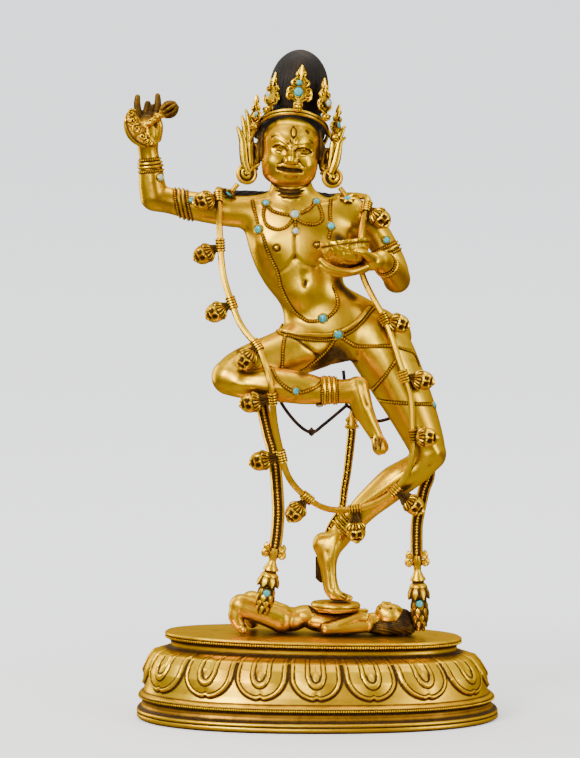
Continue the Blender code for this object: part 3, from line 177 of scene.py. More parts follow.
def head_frame():
    return Matrix.Translation(place(*HEAD_PLACE)) @ Matrix.Rotation(HEAD_TILT, 4, "Y")


def on_head(x, y, z):
    return head_frame() @ (Vector((x, y, z)) * MM)


def on_plate(x, y, z):
    lean = Matrix.Translation((0, 0, BASE_TOP)) @ Matrix.Rotation(PLATE_LEAN, 4, "Y")
    return lean @ (Vector((x, y, z)) * MM)


def alone(thing):
    bpy.ops.object.select_all(action="DESELECT")
    thing.select_set(True)
    bpy.context.view_layer.objects.active = thing


def new_thing(name, mesh):
    mesh.name = name
    thing = bpy.data.objects.new(name, mesh)
    bpy.context.scene.collection.objects.link(thing)
    return thing


def apply_all(thing):
    alone(thing)
    for modifier in list(thing.modifiers):
        bpy.ops.object.modifier_apply(modifier=modifier.name)


def smooth(thing, degrees=None):
    alone(thing)
    if degrees is None:
        bpy.ops.object.shade_smooth()
    else:
        bpy.ops.object.shade_smooth_by_angle(angle=math.radians(degrees))


def curved(a, b, c, d, t):
    """The place a share t of the way from b to c, on a smooth curve through all four."""
    return 0.5 * (2 * b + (c - a) * t + (2 * a - 5 * b + 4 * c - d) * t * t + (3 * b - a - 3 * c + d) * t ** 3)


def spaced(points, step, closed=False):
    """Points at even steps along a smooth curve through the given ones."""
    count = len(points)
    dense = []
    for i in range(count if closed else count - 1):
        before = points[(i - 1) % count] if closed or i > 0 else points[i]
        start, end = points[i], points[(i + 1) % count]
        after = points[(i + 2) % count] if closed or i + 2 < count else end
        for k in range(16):
            t = k / 16
            dense.append(curved(before, start, end, after, t))
    dense.append(dense[0].copy() if closed else points[-1].copy())
    lengths = [0.0]
    for a, b in zip(dense, dense[1:]):
        lengths.append(lengths[-1] + (b - a).length)
    parts = max(2, round(lengths[-1] / step))
    result = []
    index = 0
    for k in range(parts + (0 if closed else 1)):
        target = lengths[-1] * k / parts
        while index < len(dense) - 2 and lengths[index + 1] < target:
            index += 1
        span = lengths[index + 1] - lengths[index]
        result.append(dense[index].lerp(dense[index + 1], (target - lengths[index]) / span if span else 0.0))
    return result


def swept(shape, points, outline, widths=None, facing=None, closed=False):
    """Sweeps an outline of (across, out) pairs along points, in a mesh being made."""
    count = len(points)
    rows = []
    last = Vector(facing) if facing is not None else None
    for i, point in enumerate(points):
        ahead = points[(i + 1) % count] if closed else points[min(i + 1, count - 1)]
        back = points[(i - 1) % count] if closed else points[max(i - 1, 0)]
        along = (ahead - back).normalized()
        guide = last if last is not None else along.orthogonal()
        out = (guide - along * guide.dot(along)).normalized()
        if facing is None:
            last = out
        across = along.cross(out)
        size = widths[i] if widths else 1.0
        rows.append([shape.verts.new(point + across * (a * size) + out * (b * size)) for a, b in outline])
    sides = len(outline)
    pairs = list(zip(rows, rows[1:])) + ([(rows[-1], rows[0])] if closed else [])
    for lower, upper in pairs:
        for i in range(sides):
            j = (i + 1) % sides
            shape.faces.new((lower[i], lower[j], upper[j], upper[i]))
    if not closed:
        shape.faces.new(list(reversed(rows[0])))
        shape.faces.new(rows[-1])


def round_outline(radius, sides=10):
    return [(radius * math.cos(2 * math.pi * k / sides), radius * math.sin(2 * math.pi * k / sides))
            for k in range(sides)]


class Clay:
    """Overlapping closed shapes that are fused into one skin."""

    def __init__(self):
        self.shape = bmesh.new()

    def ball(self, middle, radii, turn=None):
        matrix = Matrix.Translation(middle) @ (turn or Matrix()) @ Matrix.Diagonal((*radii, 1.0))
        bmesh.ops.create_icosphere(self.shape, subdivisions=4, radius=1.0, matrix=matrix)

    def rod(self, points, radii, step=None, sides=16):
        """A round rod with a ball at each end, its radius carried along as a fourth coordinate."""
        along = [Vector((*p, r * 10)) for p, r in zip(points, radii)]
        path = spaced(along, step or sum(radii) / len(radii) * 0.6)
        swept(self.shape, [p.to_3d() for p in path], round_outline(1.0, sides), [p[3] / 10 for p in path])
        for point, radius in ((points[0], radii[0]), (points[-1], radii[-1])):
            self.ball(point, (radius,) * 3)

    def limb(self, run):
        self.rod([place(*p[:3]) for p in run], [p[3] * MM for p in run], step=2 * MM, sides=24)

    def loft(self, rings):
        rows = [[self.shape.verts.new(point) for point in ring] for ring in rings]
        count = len(rows[0])
        for lower, upper in zip(rows, rows[1:]):
            for i in range(count):
                j = (i + 1) % count
                self.shape.faces.new((lower[i], lower[j], upper[j], upper[i]))
        self.shape.faces.new(list(reversed(rows[0])))
        self.shape.faces.new(rows[-1])

    def fused(self, name, voxel, smoothing, most):
        """Everything laid so far as one closed skin of no more than a number of triangles."""
        bmesh.ops.recalc_face_normals(self.shape, faces=self.shape.faces)
        mesh = bpy.data.meshes.new(name)
        self.shape.to_mesh(mesh)
        self.shape.free()
        thing = new_thing(name, mesh)
        fuse = thing.modifiers.new("fuse", "REMESH")
        fuse.mode = "VOXEL"
        fuse.voxel_size = voxel
        soften = thing.modifiers.new("soften", "SMOOTH")
        soften.factor = 0.5
        soften.iterations = smoothing
        apply_all(thing)
        drop_inner_shells(thing.data)
        if 2 * len(thing.data.polygons) > most:
            thin = thing.modifiers.new("thin", "DECIMATE")
            thin.ratio = most / (2 * len(thing.data.polygons))
            apply_all(thing)
        smooth(thing)
        return thing


def drop_inner_shells(mesh):
    shape = bmesh.new()
    shape.from_mesh(mesh)
    left = set(shape.faces)
    hollow = []
    while left:
        edge = [left.pop()]
        shell = []
        while edge:
            face = edge.pop()
            shell.append(face)
            near = {other for side in face.edges for other in side.link_faces} & left
            left -= near
            edge.extend(near)
        if sum(face.calc_center_median().dot(face.normal) * face.calc_area() for face in shell) < 0:
            hollow.extend(shell)
    bmesh.ops.delete(shape, geom=hollow, context="FACES")
    shape.to_mesh(mesh)
    shape.free()


class Skin:
    """A finished form whose surface is worked over point by point, with a mask of grime and painted shade on
    it.
    """

    def __init__(self, thing):
        self.thing = thing
        mesh = thing.data
        count = len(mesh.vertices)
        flat = np.empty(count * 3)
        mesh.vertices.foreach_get("co", flat)
        self.co = flat.reshape(-1, 3)
        self.grime_and_shade = np.zeros(count)
        self.hollow_gain = 4.0
        self.refresh()

    def refresh(self):
        mesh = self.thing.data
        mesh.vertices.foreach_set("co", self.co.ravel())
        mesh.update()
        normal = np.empty(len(self.co) * 3)
        mesh.vertex_normals.foreach_get("vector", normal)
        self.normal = normal.reshape(-1, 3)
        shape = bmesh.new()
        shape.from_mesh(mesh)
        self.tree = BVHTree.FromBMesh(shape)
        shape.free()

    def spot(self, px, py):
        """The place and normal on the skin under a spot of the photograph."""
        hit, normal, _, _ = self.tree.ray_cast(EYE, through(px, py))
        if hit is None:
            flat = Vector(((px - 317.5) * PIXEL, -0.01, (716 - py) * PIXEL))
            hit, normal, _, _ = self.tree.find_nearest(flat)
        return hit, normal

    def line(self, spots):
        return [self.spot(*spot)[0] for spot in spots]

    def away(self, line):
        line = [np.array(p) for p in line]
        best = np.full(len(self.co), 1.0)
        low = np.min(line, axis=0) - 0.012
        high = np.max(line, axis=0) + 0.012
        near = np.all((self.co > low) & (self.co < high), axis=1)
        points = self.co[near]
        found = np.full(len(points), 1.0)
        for a, b in zip(line, line[1:] if len(line) > 1 else line):
            step = b - a
            size = step @ step
            share = np.clip(((points - a) @ step) / size, 0, 1) if size > 0 else np.zeros(len(points))
            found = np.minimum(found, np.linalg.norm(points - (a + share[:, None] * step), axis=1))
        best[near] = found
        return best

    def swell(self, line, reach, rise, grime_and_shade=0.0, grime_reach=None):
        """Raises the skin along a line, or presses it in, and stains it."""
        away = self.away(line)
        weight = np.clip(1 - (away / (reach * MM)) ** 2, 0, 1) ** 2
        self.co += self.normal * (weight * rise * MM)[:, None]
        if grime_and_shade:
            weight = np.clip(1 - (away / ((grime_reach or reach) * MM)) ** 2, 0, 1)
            self.grime_and_shade = np.maximum(self.grime_and_shade, weight * grime_and_shade)

    def stain_and_shade(self, line, reach, amount):
        # Darkens the skin along a line: used both for grime and for painted shade.
        weight = np.clip(1.3 - 1.3 * self.away(line) / (reach * MM), 0, 1)
        self.grime_and_shade = np.maximum(self.grime_and_shade, weight * amount)

    def levelled(self, rounds, weight=1.0):
        """The points moved towards the middle of their neighbours, over and over."""
        mesh = self.thing.data
        edges = np.empty(len(mesh.edges) * 2, dtype=np.int64)
        mesh.edges.foreach_get("vertices", edges)
        first, second = edges.reshape(-1, 2).T
        count = len(self.co)
        degree = np.bincount(edges, minlength=count) + 1.0
        flat = self.co.copy()
        for _ in range(rounds):
            for axis in range(3):
                line = flat[:, axis]
                total = line + np.bincount(first, line[second], count)
                total += np.bincount(second, line[first], count)
                flat[:, axis] = line + (total / degree - line) * weight
        return flat

    def soften(self, weight, rounds):
        self.co = self.levelled(rounds, weight)
        self.refresh()

    def done(self):
        """Writes the skin back, with grime added in its hollows."""
        self.refresh()
        mesh = self.thing.data
        hollow = np.einsum("ij,ij->i", self.levelled(6) - self.co, self.normal) / MM
        grime_and_shade = np.clip(self.grime_and_shade + np.clip(hollow * self.hollow_gain, 0, 0.8), -1, 1)
        layer = mesh.attributes.new("grime_and_shade", "FLOAT", "POINT")
        layer.data.foreach_set("value", grime_and_shade.astype(np.float32))
        mesh.update()
        return self.thing


def figure_body():
    """Torso, arms and legs in one skin, with chest, navel and shins worked over."""
    clay = Clay()
    rings = []
    for x, y, height, half_width, half_depth, rise in TORSO:
        slant = math.radians(rise)
        rings.append([place(x + half_width * math.cos(2 * math.pi * k / 48) * math.cos(slant),
                            y + half_depth * math.sin(2 * math.pi * k / 48),
                            height + half_width * math.cos(2 * math.pi * k / 48) * math.sin(slant))
                      for k in range(48)])
    steps = []
    for i in range(len(rings) - 1):
        lower, upper = rings[i], rings[i + 1]
        before, after = rings[max(0, i - 1)], rings[min(len(rings) - 1, i + 2)]
        for t in (0, 0.25, 0.5, 0.75):
            steps.append([curved(*four, t) for four in zip(before, lower, upper, after)])
    clay.loft(steps + [rings[-1]])
    for run in LIMBS:
        clay.limb(run)
    for run in TOES:
        clay.limb(run)
    for x, y, z, rx, ry, rz in BODY_MASSES:
        clay.ball(place(x, y, z), (rx * MM, ry * MM, rz * MM))
    thing = clay.fused("figure_body", 1.0 * MM, 5, 196000)
    skin = Skin(thing)
    height = (skin.co[:, 2] - SOLE) / MM
    across = skin.co[:, 0] / MM
    torso = np.clip((height - 150) / 10, 0, 1) * np.clip((246 - height) / 8, 0, 1)
    torso *= np.clip((across + 52) / 8, 0, 1) * np.clip((36 - across) / 8, 0, 1)
    heel = np.clip((44 - height) / 6, 0, 1) * np.clip((height - 8) / 6, 0, 1)
    skin.soften(torso, 40)
    skin.soften(heel, 14)
    skin.hollow_gain = 1.6
    skin.swell(skin.line([(294.9, 236), (295.1, 246), (295.3, 256)]), 1.5, -0.4, 0.3, 0.9)
    skin.swell(skin.line([(295, 258), (288, 266), (281, 271), (275, 275)]), 2.6, -0.4, 0.1, 1.0)
    skin.swell(skin.line([(295, 258), (303, 264), (315, 267)]), 2.4, -0.45, 0.12, 1.2)
    skin.swell(skin.line([(305.4, 274), (305.6, 282)]), 4, -0.4, 0.15, 2)
    skin.swell(skin.line([(305.6, 282), (305.6, 285)]), 1.7, -0.9, 0.4, 0.9)
    skin.swell(skin.line([(303, 293), (300, 300)]), 8, 0.5)
    for px, py in ((276.7, 248.3), (316.9, 245)):
        skin.swell(skin.line([(px, py)]), 2.7, 0.5, 0.0)
        ring = [skin.spot(px + 3.1 * math.cos(k * math.pi / 4), py + 3.1 * math.sin(k * math.pi / 4))[0]
                for k in range(9)]
        skin.swell(ring, 0.9, -0.5, 0.6, 0.9)
        skin.swell(skin.line([(px, py)]), 1.2, 0.8, 0.5, 1.0)
    skin.swell(skin.line([(262, 205), (274, 208), (284, 211)]), 3, 0.4)
    skin.swell(skin.line([(306, 209), (318, 206), (328, 203)]), 3, 0.4)
    skin.swell(skin.line([(214, 388), (222, 396)]), 6, -0.8, 0.25, 5)
    skin.swell(skin.line([(236, 383), (262, 387), (300, 391)]), 4, 0.5)
    skin.swell(skin.line([(360, 382), (364, 392), (368, 404)]), 3.2, -0.8, 0.3, 2.2)
    skin.swell(skin.line([(327, 552), (330, 570), (332, 588)]), 1.8, -0.6, 0.12, 1.2)
    skin.swell(skin.line([(334, 546), (334.6, 566), (335, 586)]), 1.8, 0.4)
    skin.stain_and_shade([place(-107, -4, 252), place(-107.5, -4, 256)], 3.2, 0.95)
    skin.swell(skin.line([(345, 519), (362, 504), (385, 489), (405, 473)]), 3.0, 0.6)
    skin.swell(skin.line([(428, 440), (438, 452)]), 5, 0.8)
    skin.swell(skin.line([(437, 462), (430, 466)]), 4, -0.6, 0.2, 3)
    skin.swell(skin.line([(295.7, 338.4), (306, 346), (317.9, 356)]), 1.6, -0.9, 0.4, 1.6)
    skin.stain_and_shade(skin.line([(374.6, 446), (378, 444), (381, 440)]), 3.6, 0.55)
    # Painted shade: broad darkening laid where the figure lies in shade, as under the arm behind the bowl, at
    # the waist and round the severed head below the knee; the patches on the chest dim its highlight and add
    # brownish patina.
    for spots, reach, amount in (
            ([(268, 220), (283, 226)], 12, 0.3), ([(304, 222), (324, 226)], 11, 0.3), ([(290, 204)], 9, 0.34),
            ([(152, 172), (156, 196), (182, 204)], 10, 0.32), ([(322, 360), (336, 352), (346, 362)], 9, 0.8),
            ([(302, 374), (320, 372), (342, 372)], 6, 0.65), ([(240, 350), (246, 362)], 5, 0.6),
            ([(338, 238), (345, 243)], 6, 0.7), ([(338, 283), (346, 291), (352, 297)], 6, 0.7),
            ([(271, 248), (280, 262)], 8, 0.26), ([(300, 285), (312, 300)], 6, 0.24)):
        skin.stain_and_shade(skin.line(spots), reach, amount)
    for spots in (((372, 438), (371.5, 447)), ((375.5, 439), (376, 450)), ((379.5, 439), (381, 449)),
                  ((343, 594), (348, 598)), ((341.5, 597.5), (346, 600.5))):
        skin.swell(skin.line(spots), 0.9, -0.8, 0.75, 0.9)
    return skin


def figure_face():
    """The broad three-eyed face, its ears and the creased neck."""
    turn = Matrix.Rotation(HEAD_TILT, 4, "Y")
    clay = Clay()
    for x, y, z, rx, ry, rz in FACE_MASSES:
        clay.ball(on_head(x, y, z), (rx * MM, ry * MM, rz * MM), turn)
    clay.rod([place(-15.4, 1, 240), place(-15.6, 0.5, 247), place(-16.6, 0.5, 256)],
             [12.6 * MM, 11.9 * MM, 12.2 * MM], sides=32)
    for side in (-1, 1):
        clay.ball(on_head(20.6 * side, 0.6, 14.4), (2.2 * MM, 2.6 * MM, 5.4 * MM), turn)
        clay.rod([on_head(x * side, y, z) for x, y, z in
                  ((19.6, -2.6, 13.4), (20.6, -2.6, 17.8), (22.6, -1.6, 19), (23.6, -0.6, 16.4),
                   (23, -0.6, 12.4), (21.4, -1.6, 8.9), (20.6, -2, 5.8), (19.4, -2.2, 4.2))],
                 [r * MM for r in (0.8, 0.95, 1.05, 1.1, 1.1, 1.25, 1.5, 1.1)])
    skin = Skin(clay.fused("figure_face", 0.46 * MM, 3, 150000))
    local = np.array(head_frame().inverted())
    flat = (skin.co @ local[:3, :3].T + local[:3, 3]) / MM
    front = np.clip((-flat[:, 1] - 3) / 5, 0, 1) * np.clip((flat[:, 2] + 9) / 4, 0, 1)
    skin.soften(front, 40)
    skin.hollow_gain = 2.2
    line = skin.line
    skin.swell(line([(291, 150), (291, 156), (290.6, 161)]), 3.6, 1.9)
    skin.swell(line([(290.4, 160.8)]), 3.6, 2.0)
    skin.swell(line([(285.6, 161.2)]), 2.4, 1.5)
    skin.swell(line([(295.8, 161.8)]), 2.4, 1.5)
    skin.swell(line([(275, 163), (272, 156)]), 7, 0.5)
    skin.swell(line([(309, 164), (312, 158)]), 7, 0.5)
    skin.swell(line([(283.5, 141.5), (277, 139)]), 4.6, 0.7)
    skin.swell(line([(299, 143.5), (307, 142)]), 4.6, 0.7)
    skin.swell(line([(275, 148.6), (279.6, 149), (285.4, 150.3)]), 3.2, -0.9, 0.16, 2.4)
    skin.swell(line([(297.5, 151.4), (304, 152), (309.6, 152.4)]), 3.2, -0.9, 0.16, 2.4)
    skin.swell(line([(279.8, 148.6)]), 2.6, 1.2)
    skin.swell(line([(304.2, 151.4)]), 2.6, 1.2)
    upper_lids = ([(272.8, 147.8), (276, 145.8), (280, 145.4), (284, 147.6), (287.6, 151)],
                  [(294.8, 151), (299, 148.6), (304, 148.2), (308.6, 150.2), (311.6, 153)])
    lower_lids = ([(272.8, 147.8), (276.4, 150.8), (281, 151.8), (287.6, 151)],
                  [(294.8, 151), (299.6, 154), (305.4, 154.8), (311.6, 153)])
    for lid in upper_lids:
        skin.swell(line([(x, y - 1.3) for x, y in lid]), 0.9, 0.7)
        skin.swell(line(lid), 0.75, -0.45, 0.95, 0.75)
    for lid in lower_lids:
        skin.swell(line([(x, y + 1.1) for x, y in lid[1:-1]]), 0.8, 0.5)
        skin.swell(line(lid), 0.65, -0.3, 0.7, 0.65)
    for px, py in ((279.9, 148.4), (304.0, 151.3)):
        skin.swell(line([(px, py)]), 0.85, -0.4, 1.0, 0.95)
    for brow in ([(271.6, 137.6), (275, 135.8), (279.6, 137.4), (284, 140.8), (288, 143.6), (291, 146.4)],
                 [(312.4, 143.2), (309.6, 140.8), (305, 140.6), (300.6, 142), (296.6, 145.4)]):
        skin.swell(line([(x, y - 1.2) for x, y in brow]), 1.2, 0.6)
        skin.swell(line([(x, y + 0.4) for x, y in brow]), 0.75, -0.4, 0.85, 0.75)
        skin.swell(line([(x, y + 1.9) for x, y in brow[1:]]), 1.1, 0.4)
    eye = [(293.7, 127), (291.2, 131.4), (291.4, 135.4), (293.7, 138.8), (296.2, 135.4), (296.4, 131.4),
           (293.7, 127)]
    skin.swell(line([(293.7, 130.4), (293.7, 135.6)]), 1.8, 0.7)
    skin.swell(line(eye), 0.75, -0.4, 0.85, 0.75)
    skin.swell(line([(290.2, 140.4), (291.4, 144.6)]), 0.75, -0.4, 0.6, 0.75)
    skin.swell(line([(296.4, 140.6), (295.2, 144.6)]), 0.75, -0.4, 0.6, 0.75)
    skin.swell(line([(293.2, 141.4), (293.2, 145.2)]), 0.75, -0.3, 0.4, 0.7)
    skin.swell(line([(283.4, 160), (281.2, 163), (277.6, 165.4)]), 1.3, -0.5, 0.4, 0.9)
    skin.swell(line([(298.4, 160.6), (301.4, 164), (304.4, 167.4)]), 1.3, -0.5, 0.4, 0.9)
    skin.swell(line([(283.8, 163), (288, 163.6), (292.6, 164), (297.4, 163.6)]), 0.8, -0.5, 0.85, 0.8)
    skin.swell(line([(276.8, 166.6), (281, 165.6), (286, 165.6), (290.6, 166.8), (295.2, 166.6), (300, 168.4),
                     (303.4, 171)]), 1.1, 0.45)
    mouth = [(278, 168.2), (284, 169.2), (291, 170.4), (297, 170.6), (301.6, 171.4)]
    skin.swell(line(mouth), 1.9, -1.6, 1.0, 1.35)
    skin.swell(line([(280.4, 171.8), (285.4, 173.8), (291, 174.9), (297, 174.6), (302, 173.2)]), 1.3, 1.1)
    skin.swell(line([(282, 169.4), (287, 170.2), (292, 170.9), (297, 171)]), 0.75, 0.8)
    skin.swell(line([(285, 177.4), (291, 178.4), (297, 178)]), 1.5, -0.4, 0.2, 1.1)
    skin.swell(line([(290.8, 181.4)]), 5, 0.5)
    for rise in (189.4, 193.2, 197.2):
        arc = [(269.5, rise - 3.0), (276, rise - 0.6), (284, rise + 0.9), (291, rise + 1.3), (299, rise + 0.6),
               (306, rise - 1.2), (311, rise - 3.4)]
        skin.swell(line(arc), 0.8, -0.6, 0.6, 0.7)
        skin.swell(line([(x, y - 1.6) for x, y in arc]), 1.1, 0.4)
    for side in (-1, 1):
        ear = [on_head(x * side, y, z) for x, y, z in ((21.6, -2, 16.8), (21.8, -2, 13.4), (20.8, -2, 10.4))]
        skin.swell(ear, 1.1, -0.4, 0.55, 0.9)
        # Painted shade darkening the sides of the face, from the temple down past the ear.
        skin.stain_and_shade([on_head(17 * side, -5, 34), on_head(19.5 * side, -4, 20), on_head(15 * side, -3, 3)],
                   4.2, 0.7)
    # Painted shadow under the chin and along the underside of the jaw; the two stains after it, at the sides of
    # the neck, are grime.
    skin.stain_and_shade([on_head(-12, -6, -4), on_head(0, -10, -7), on_head(12, -6, -4)], 3.4, 0.6)
    jaw_edge = [skin.tree.find_nearest(on_head(*spot))[0] for spot in
                ((-17, -3, 1), (-13, -8, -5), (-6, -12, -9), (0, -13, -10), (6, -12, -9), (13, -8, -5),
                 (17, -3, 1))]
    skin.stain_and_shade(jaw_edge, 4.2, 0.7)
    skin.stain_and_shade([on_head(-13, 2, -2), on_head(-13, 2, -9)], 4, 0.85)
    skin.stain_and_shade([on_head(13, 2, -2), on_head(13, 2, -9)], 4, 0.85)
    skin.stain_and_shade(line([(306.6, 131.6), (308, 133)]), 1.9, 0.7)
    return skin


# The rolls of hair over the forehead, as photograph spots
HAIRLINE = [(261.4, 161), (261.4, 151), (262, 140.5), (264, 129.8), (270, 121.4), (280.6, 116.6),
            (291, 115.6),
            (301, 116.8), (310, 120.4), (317.6, 127.1), (320.6, 136.9), (321.2, 151.3), (320.6, 161)]


def figure_hair(face):
    """Swept-up hair: a cap and a tall topknot with fine combed lines, and the rolls over the forehead."""
    turn = Matrix.Rotation(HEAD_TILT, 4, "Y")
    clay = Clay()
    rolls = Trim("hairline_rolls")
    for x, y, z, rx, ry, rz in HAIR_MASSES:
        clay.ball(on_head(x, y, z), (rx * MM, ry * MM, rz * MM), turn)
    for number in range(4):
        arc = []
        for px, py in HAIRLINE:
            wide = Vector((px - 291.3, 0, 151 - py))
            spot = pixel(px, py, 0) + wide.normalized() * (1.35 * number * MM)
            hit = face.tree.ray_cast(EYE, (spot - EYE).normalized())[0]
            deep = hit.y if hit is not None else 0.0
            deep = min(deep, -14.6 * MM + (wide.length / 30) ** 4 * 6 * MM) + 1.1 * number * MM
            arc.append(spot + (spot - EYE) * ((deep - spot.y) / (spot.y - EYE.y)))
        arc = arc if number == 0 else arc[2:-2]
        clay.rod(arc, [0.95 * MM] * len(arc), step=1 * MM)
        rolls.rod(arc, 1.02, sides=10, dark=0.25 * (number % 2))
    skin = Skin(clay.fused("figure_hair", 0.7 * MM, 3, 90000))
    local = np.array(head_frame().inverted())
    flat = (skin.co @ local[:3, :3].T + local[:3, 3]) / MM
    angle = np.arctan2(flat[:, 0] - 2.3, -(flat[:, 1] - 4))
    comb = np.sin(angle * 46 + np.sin(flat[:, 2] * 0.16) * 1.2)
    height = np.clip((flat[:, 2] - 34) / 5, 0, 1)
    top = np.clip((77 - flat[:, 2]) / 8, 0, 1)
    low = np.sin(flat[:, 0] * 2.6 + np.sin(flat[:, 2] * 0.3)) * (1 - height)
    low *= np.clip((flat[:, 1] + 6) / 8, 0, 1)
    skin.co += skin.normal * ((comb * 0.16 * height * top + low * 0.16) * MM)[:, None]
    skin.grime_and_shade += np.clip(0.5 - 0.5 * comb, 0, 1) * 0.5
    return skin, rolls


def hand(name, fingers, masses):
    """Fingers and palm in one skin, laid over the end of the arm."""
    clay = Clay()
    for run in fingers:
        clay.rod([place(*p[:3]) for p in run], [p[3] * MM for p in run], step=0.8 * MM)
    for x, y, z, rx, ry, rz in masses:
        clay.ball(place(x, y, z), (rx * MM, ry * MM, rz * MM))
    return Skin(clay.fused(name, 0.5 * MM, 3, 30000))


def bead_shape(radius, sides=8, rows=5):
    """One bead as plain lists of points and faces, for copying along strings."""
    bpy.ops.object.select_all(action="DESELECT")
    bpy.ops.mesh.primitive_uv_sphere_add(segments=sides, ring_count=rows, radius=radius)
    bead = bpy.context.active_object
    points = np.array([tuple(v.co) for v in bead.data.vertices])
    faces = [tuple(p.vertices) for p in bead.data.polygons]
    bpy.data.objects.remove(bead, do_unlink=True)
    return points, faces


class Trim:
    """Small ornaments gathered into one piece: beads, rods and copied shapes."""

    def __init__(self, name):
        self.name = name
        self.points = []
        self.faces = []
        self.dark = []
        self.count = 0

    def add(self, points, faces, dark=0.0):
        self.points.append(np.asarray(points, dtype=float))
        self.faces.extend([tuple(i + self.count for i in face) for face in faces])
        self.dark.append(np.full(len(points), 1.0) * dark)
        self.count += len(points)

    def beads(self, places, radius, dark=0.15, sides=8, rows=5):
        shape, faces = bead_shape(radius * MM, sides, rows)
        for spot in places:
            self.add(shape + np.array(spot), faces, dark)

    def sweep(self, points, outline, widths=None, facing=None, closed=False, dark=0.0):
        shape = bmesh.new()
        swept(shape, points, outline, widths, facing, closed)
        bmesh.ops.recalc_face_normals(shape, faces=shape.faces)
        shape.verts.ensure_lookup_table()
        shape.verts.index_update()
        if not np.isscalar(dark):
            dark = np.tile(dark, len(points))
        faces = [[v.index for v in face.verts] for face in shape.faces]
        self.add([tuple(v.co) for v in shape.verts], faces, dark)
        shape.free()

    def rod(self, points, radius, closed=False, sides=10, dark=0.0, step=None, widths=None):
        path = spaced(points, step or radius * MM, closed)
        if widths:
            share = [k / len(path) * (len(widths) - 1) for k in range(len(path))]
            widths = [widths[int(t)] + (widths[int(t) + 1] - widths[int(t)]) * (t % 1.0) for t in share]
        self.sweep(path, round_outline(radius * MM, sides), widths, None, closed, dark)

    def copy(self, template, matrix):
        points, faces, dark = template
        turned = points @ np.array(matrix.to_3x3()).T + np.array(matrix.translation)
        self.add(turned, faces, dark)

    def string(self, line, radius, lift=0.6, gap=2.15, dark=-0.5, closed=False):
        """Beads on a wire along points of a skin that are given with their normals."""
        raised = [spot + normal * (radius * lift * MM) for spot, normal in line]
        path = spaced(raised, radius * gap * MM, closed)
        self.beads(path, radius, dark, 7, 4)
        self.rod(path, radius * 0.4, closed, 5, 1.0, 2.4 * MM)
        return path

    def done(self, degrees=40):
        mesh = bpy.data.meshes.new(self.name)
        mesh.from_pydata(np.concatenate(self.points).tolist(), [], self.faces)
        mesh.update()
        thing = new_thing(self.name, mesh)
        layer = mesh.attributes.new("grime_and_shade", "FLOAT", "POINT")
        layer.data.foreach_set("value", np.concatenate(self.dark).astype(np.float32))
        smooth(thing, degrees)
        return thing


def hugging(skin, middle, along, reach, count=40):
    """Points of a ring laid round a limb from outside in, each with its way outward."""
    turn = Vector(along).to_track_quat("Z", "Y").to_matrix()
    middle = place(*middle)
    ring = []
    for k in range(count):
        angle = 2 * math.pi * k / count
        out = turn @ Vector((math.cos(angle), math.sin(angle), 0))
        hit = skin.tree.ray_cast(middle + out * (reach * MM), -out)[0]
        if hit is None or (hit - middle).length > reach * MM:
            hit = middle + out * (reach * 0.8 * MM)
        ring.append((hit, out))
    return ring


# Chains and the belt as photograph spots on the skin
CHAINS = [
    [(252.3, 200.7), (254.6, 211), (257.5, 221.8), (259, 229.9), (263.3, 237.1), (270, 256.2), (276, 268),
     (279, 276), (281.5, 286.9), (286.2, 297.4), (290.4, 305), (295.8, 312.7), (306.3, 320.4), (314, 321.4),
     (323, 319.6), (330.3, 315.6), (337, 307.9), (337.6, 299.3), (333.4, 287)],
    [(330.7, 199.8), (329.8, 212.2), (330.7, 226.1), (329, 238)],
    [(266.1, 204.6), (270, 209), (274.8, 212.2), (286.2, 215.1), (294.6, 215.4), (303.5, 212.6), (310, 208.6),
     (316.9, 201.2)],
    [(264.9, 207), (263.6, 216), (266.6, 225), (275.7, 229.6), (284.3, 228.3), (291, 222.8), (294.2, 217)],
    [(295, 217), (298.4, 220.6), (304.4, 223.7), (315, 224.7), (321.7, 220.6), (321.9, 213.6), (317.8, 204)],
    [(294.9, 218), (295.4, 224), (295.8, 230)],
    [(285, 336.1), (282.9, 349.9), (281.9, 366.7)],
    [(334.6, 339.8), (328.6, 348.4), (320.9, 356.2), (310.2, 365), (301, 371.3)],
    [(272.4, 369.6), (276, 377), (281.1, 383.6), (291.8, 390.8), (300, 392.4), (307.1, 391), (317.9, 385.9),
     (324.8, 377.5)],
    [(342, 337.6), (349, 342), (357.7, 346.1), (374.5, 346.3), (392.9, 346.3), (403.6, 349.1), (414.3, 353.9),
     (423.6, 362.6)],
    [(395.9, 360.6), (390, 369), (385.2, 375.9), (378.6, 383.4), (373, 389.7)],
    [(378.3, 399.6), (385, 401.4), (392.9, 402.2), (414.3, 403.9), (431, 404.6)],
]
BELT = [(281.5, 330.6), (292, 333), (306.3, 334.8), (330.3, 334.8), (349.4, 327.4), (360, 318.6), (368, 309)]

# Ornaments round the limbs: centre, direction, reach, offsets of beaded rows, offsets of plain rings
ARMLETS = [
    ((-80, -4.5, 237.5), (1, -0.08, 0.17), 16, (-3.4, 3.4), (-1.2, 1.2)),
    ((-99.6, -8.6, 260.5), (-0.1, -0.14, 1), 14, (3.2, -3.6), (1.2, -0.9)),
    ((41.5, 2, 209.5), (0.45, 0, -0.9), 16, (-2.4, 2.4), (0,)),
    ((39.8, -26, 200.3), (-0.35, -0.88, 0.3), 13, (-2.2, 2.2), (0,)),
    ((6.6, -29.6, 126.9), (1, 0, 0.02), 15, (-4.2, -1.4, 1.4, 4.2), (-2.8, 0, 2.8)),
    ((18.5, 1, 44.5), (-0.68, 0.1, -0.73), 15, (-3.4, 0, 3.4), (-1.7, 1.7)),
]


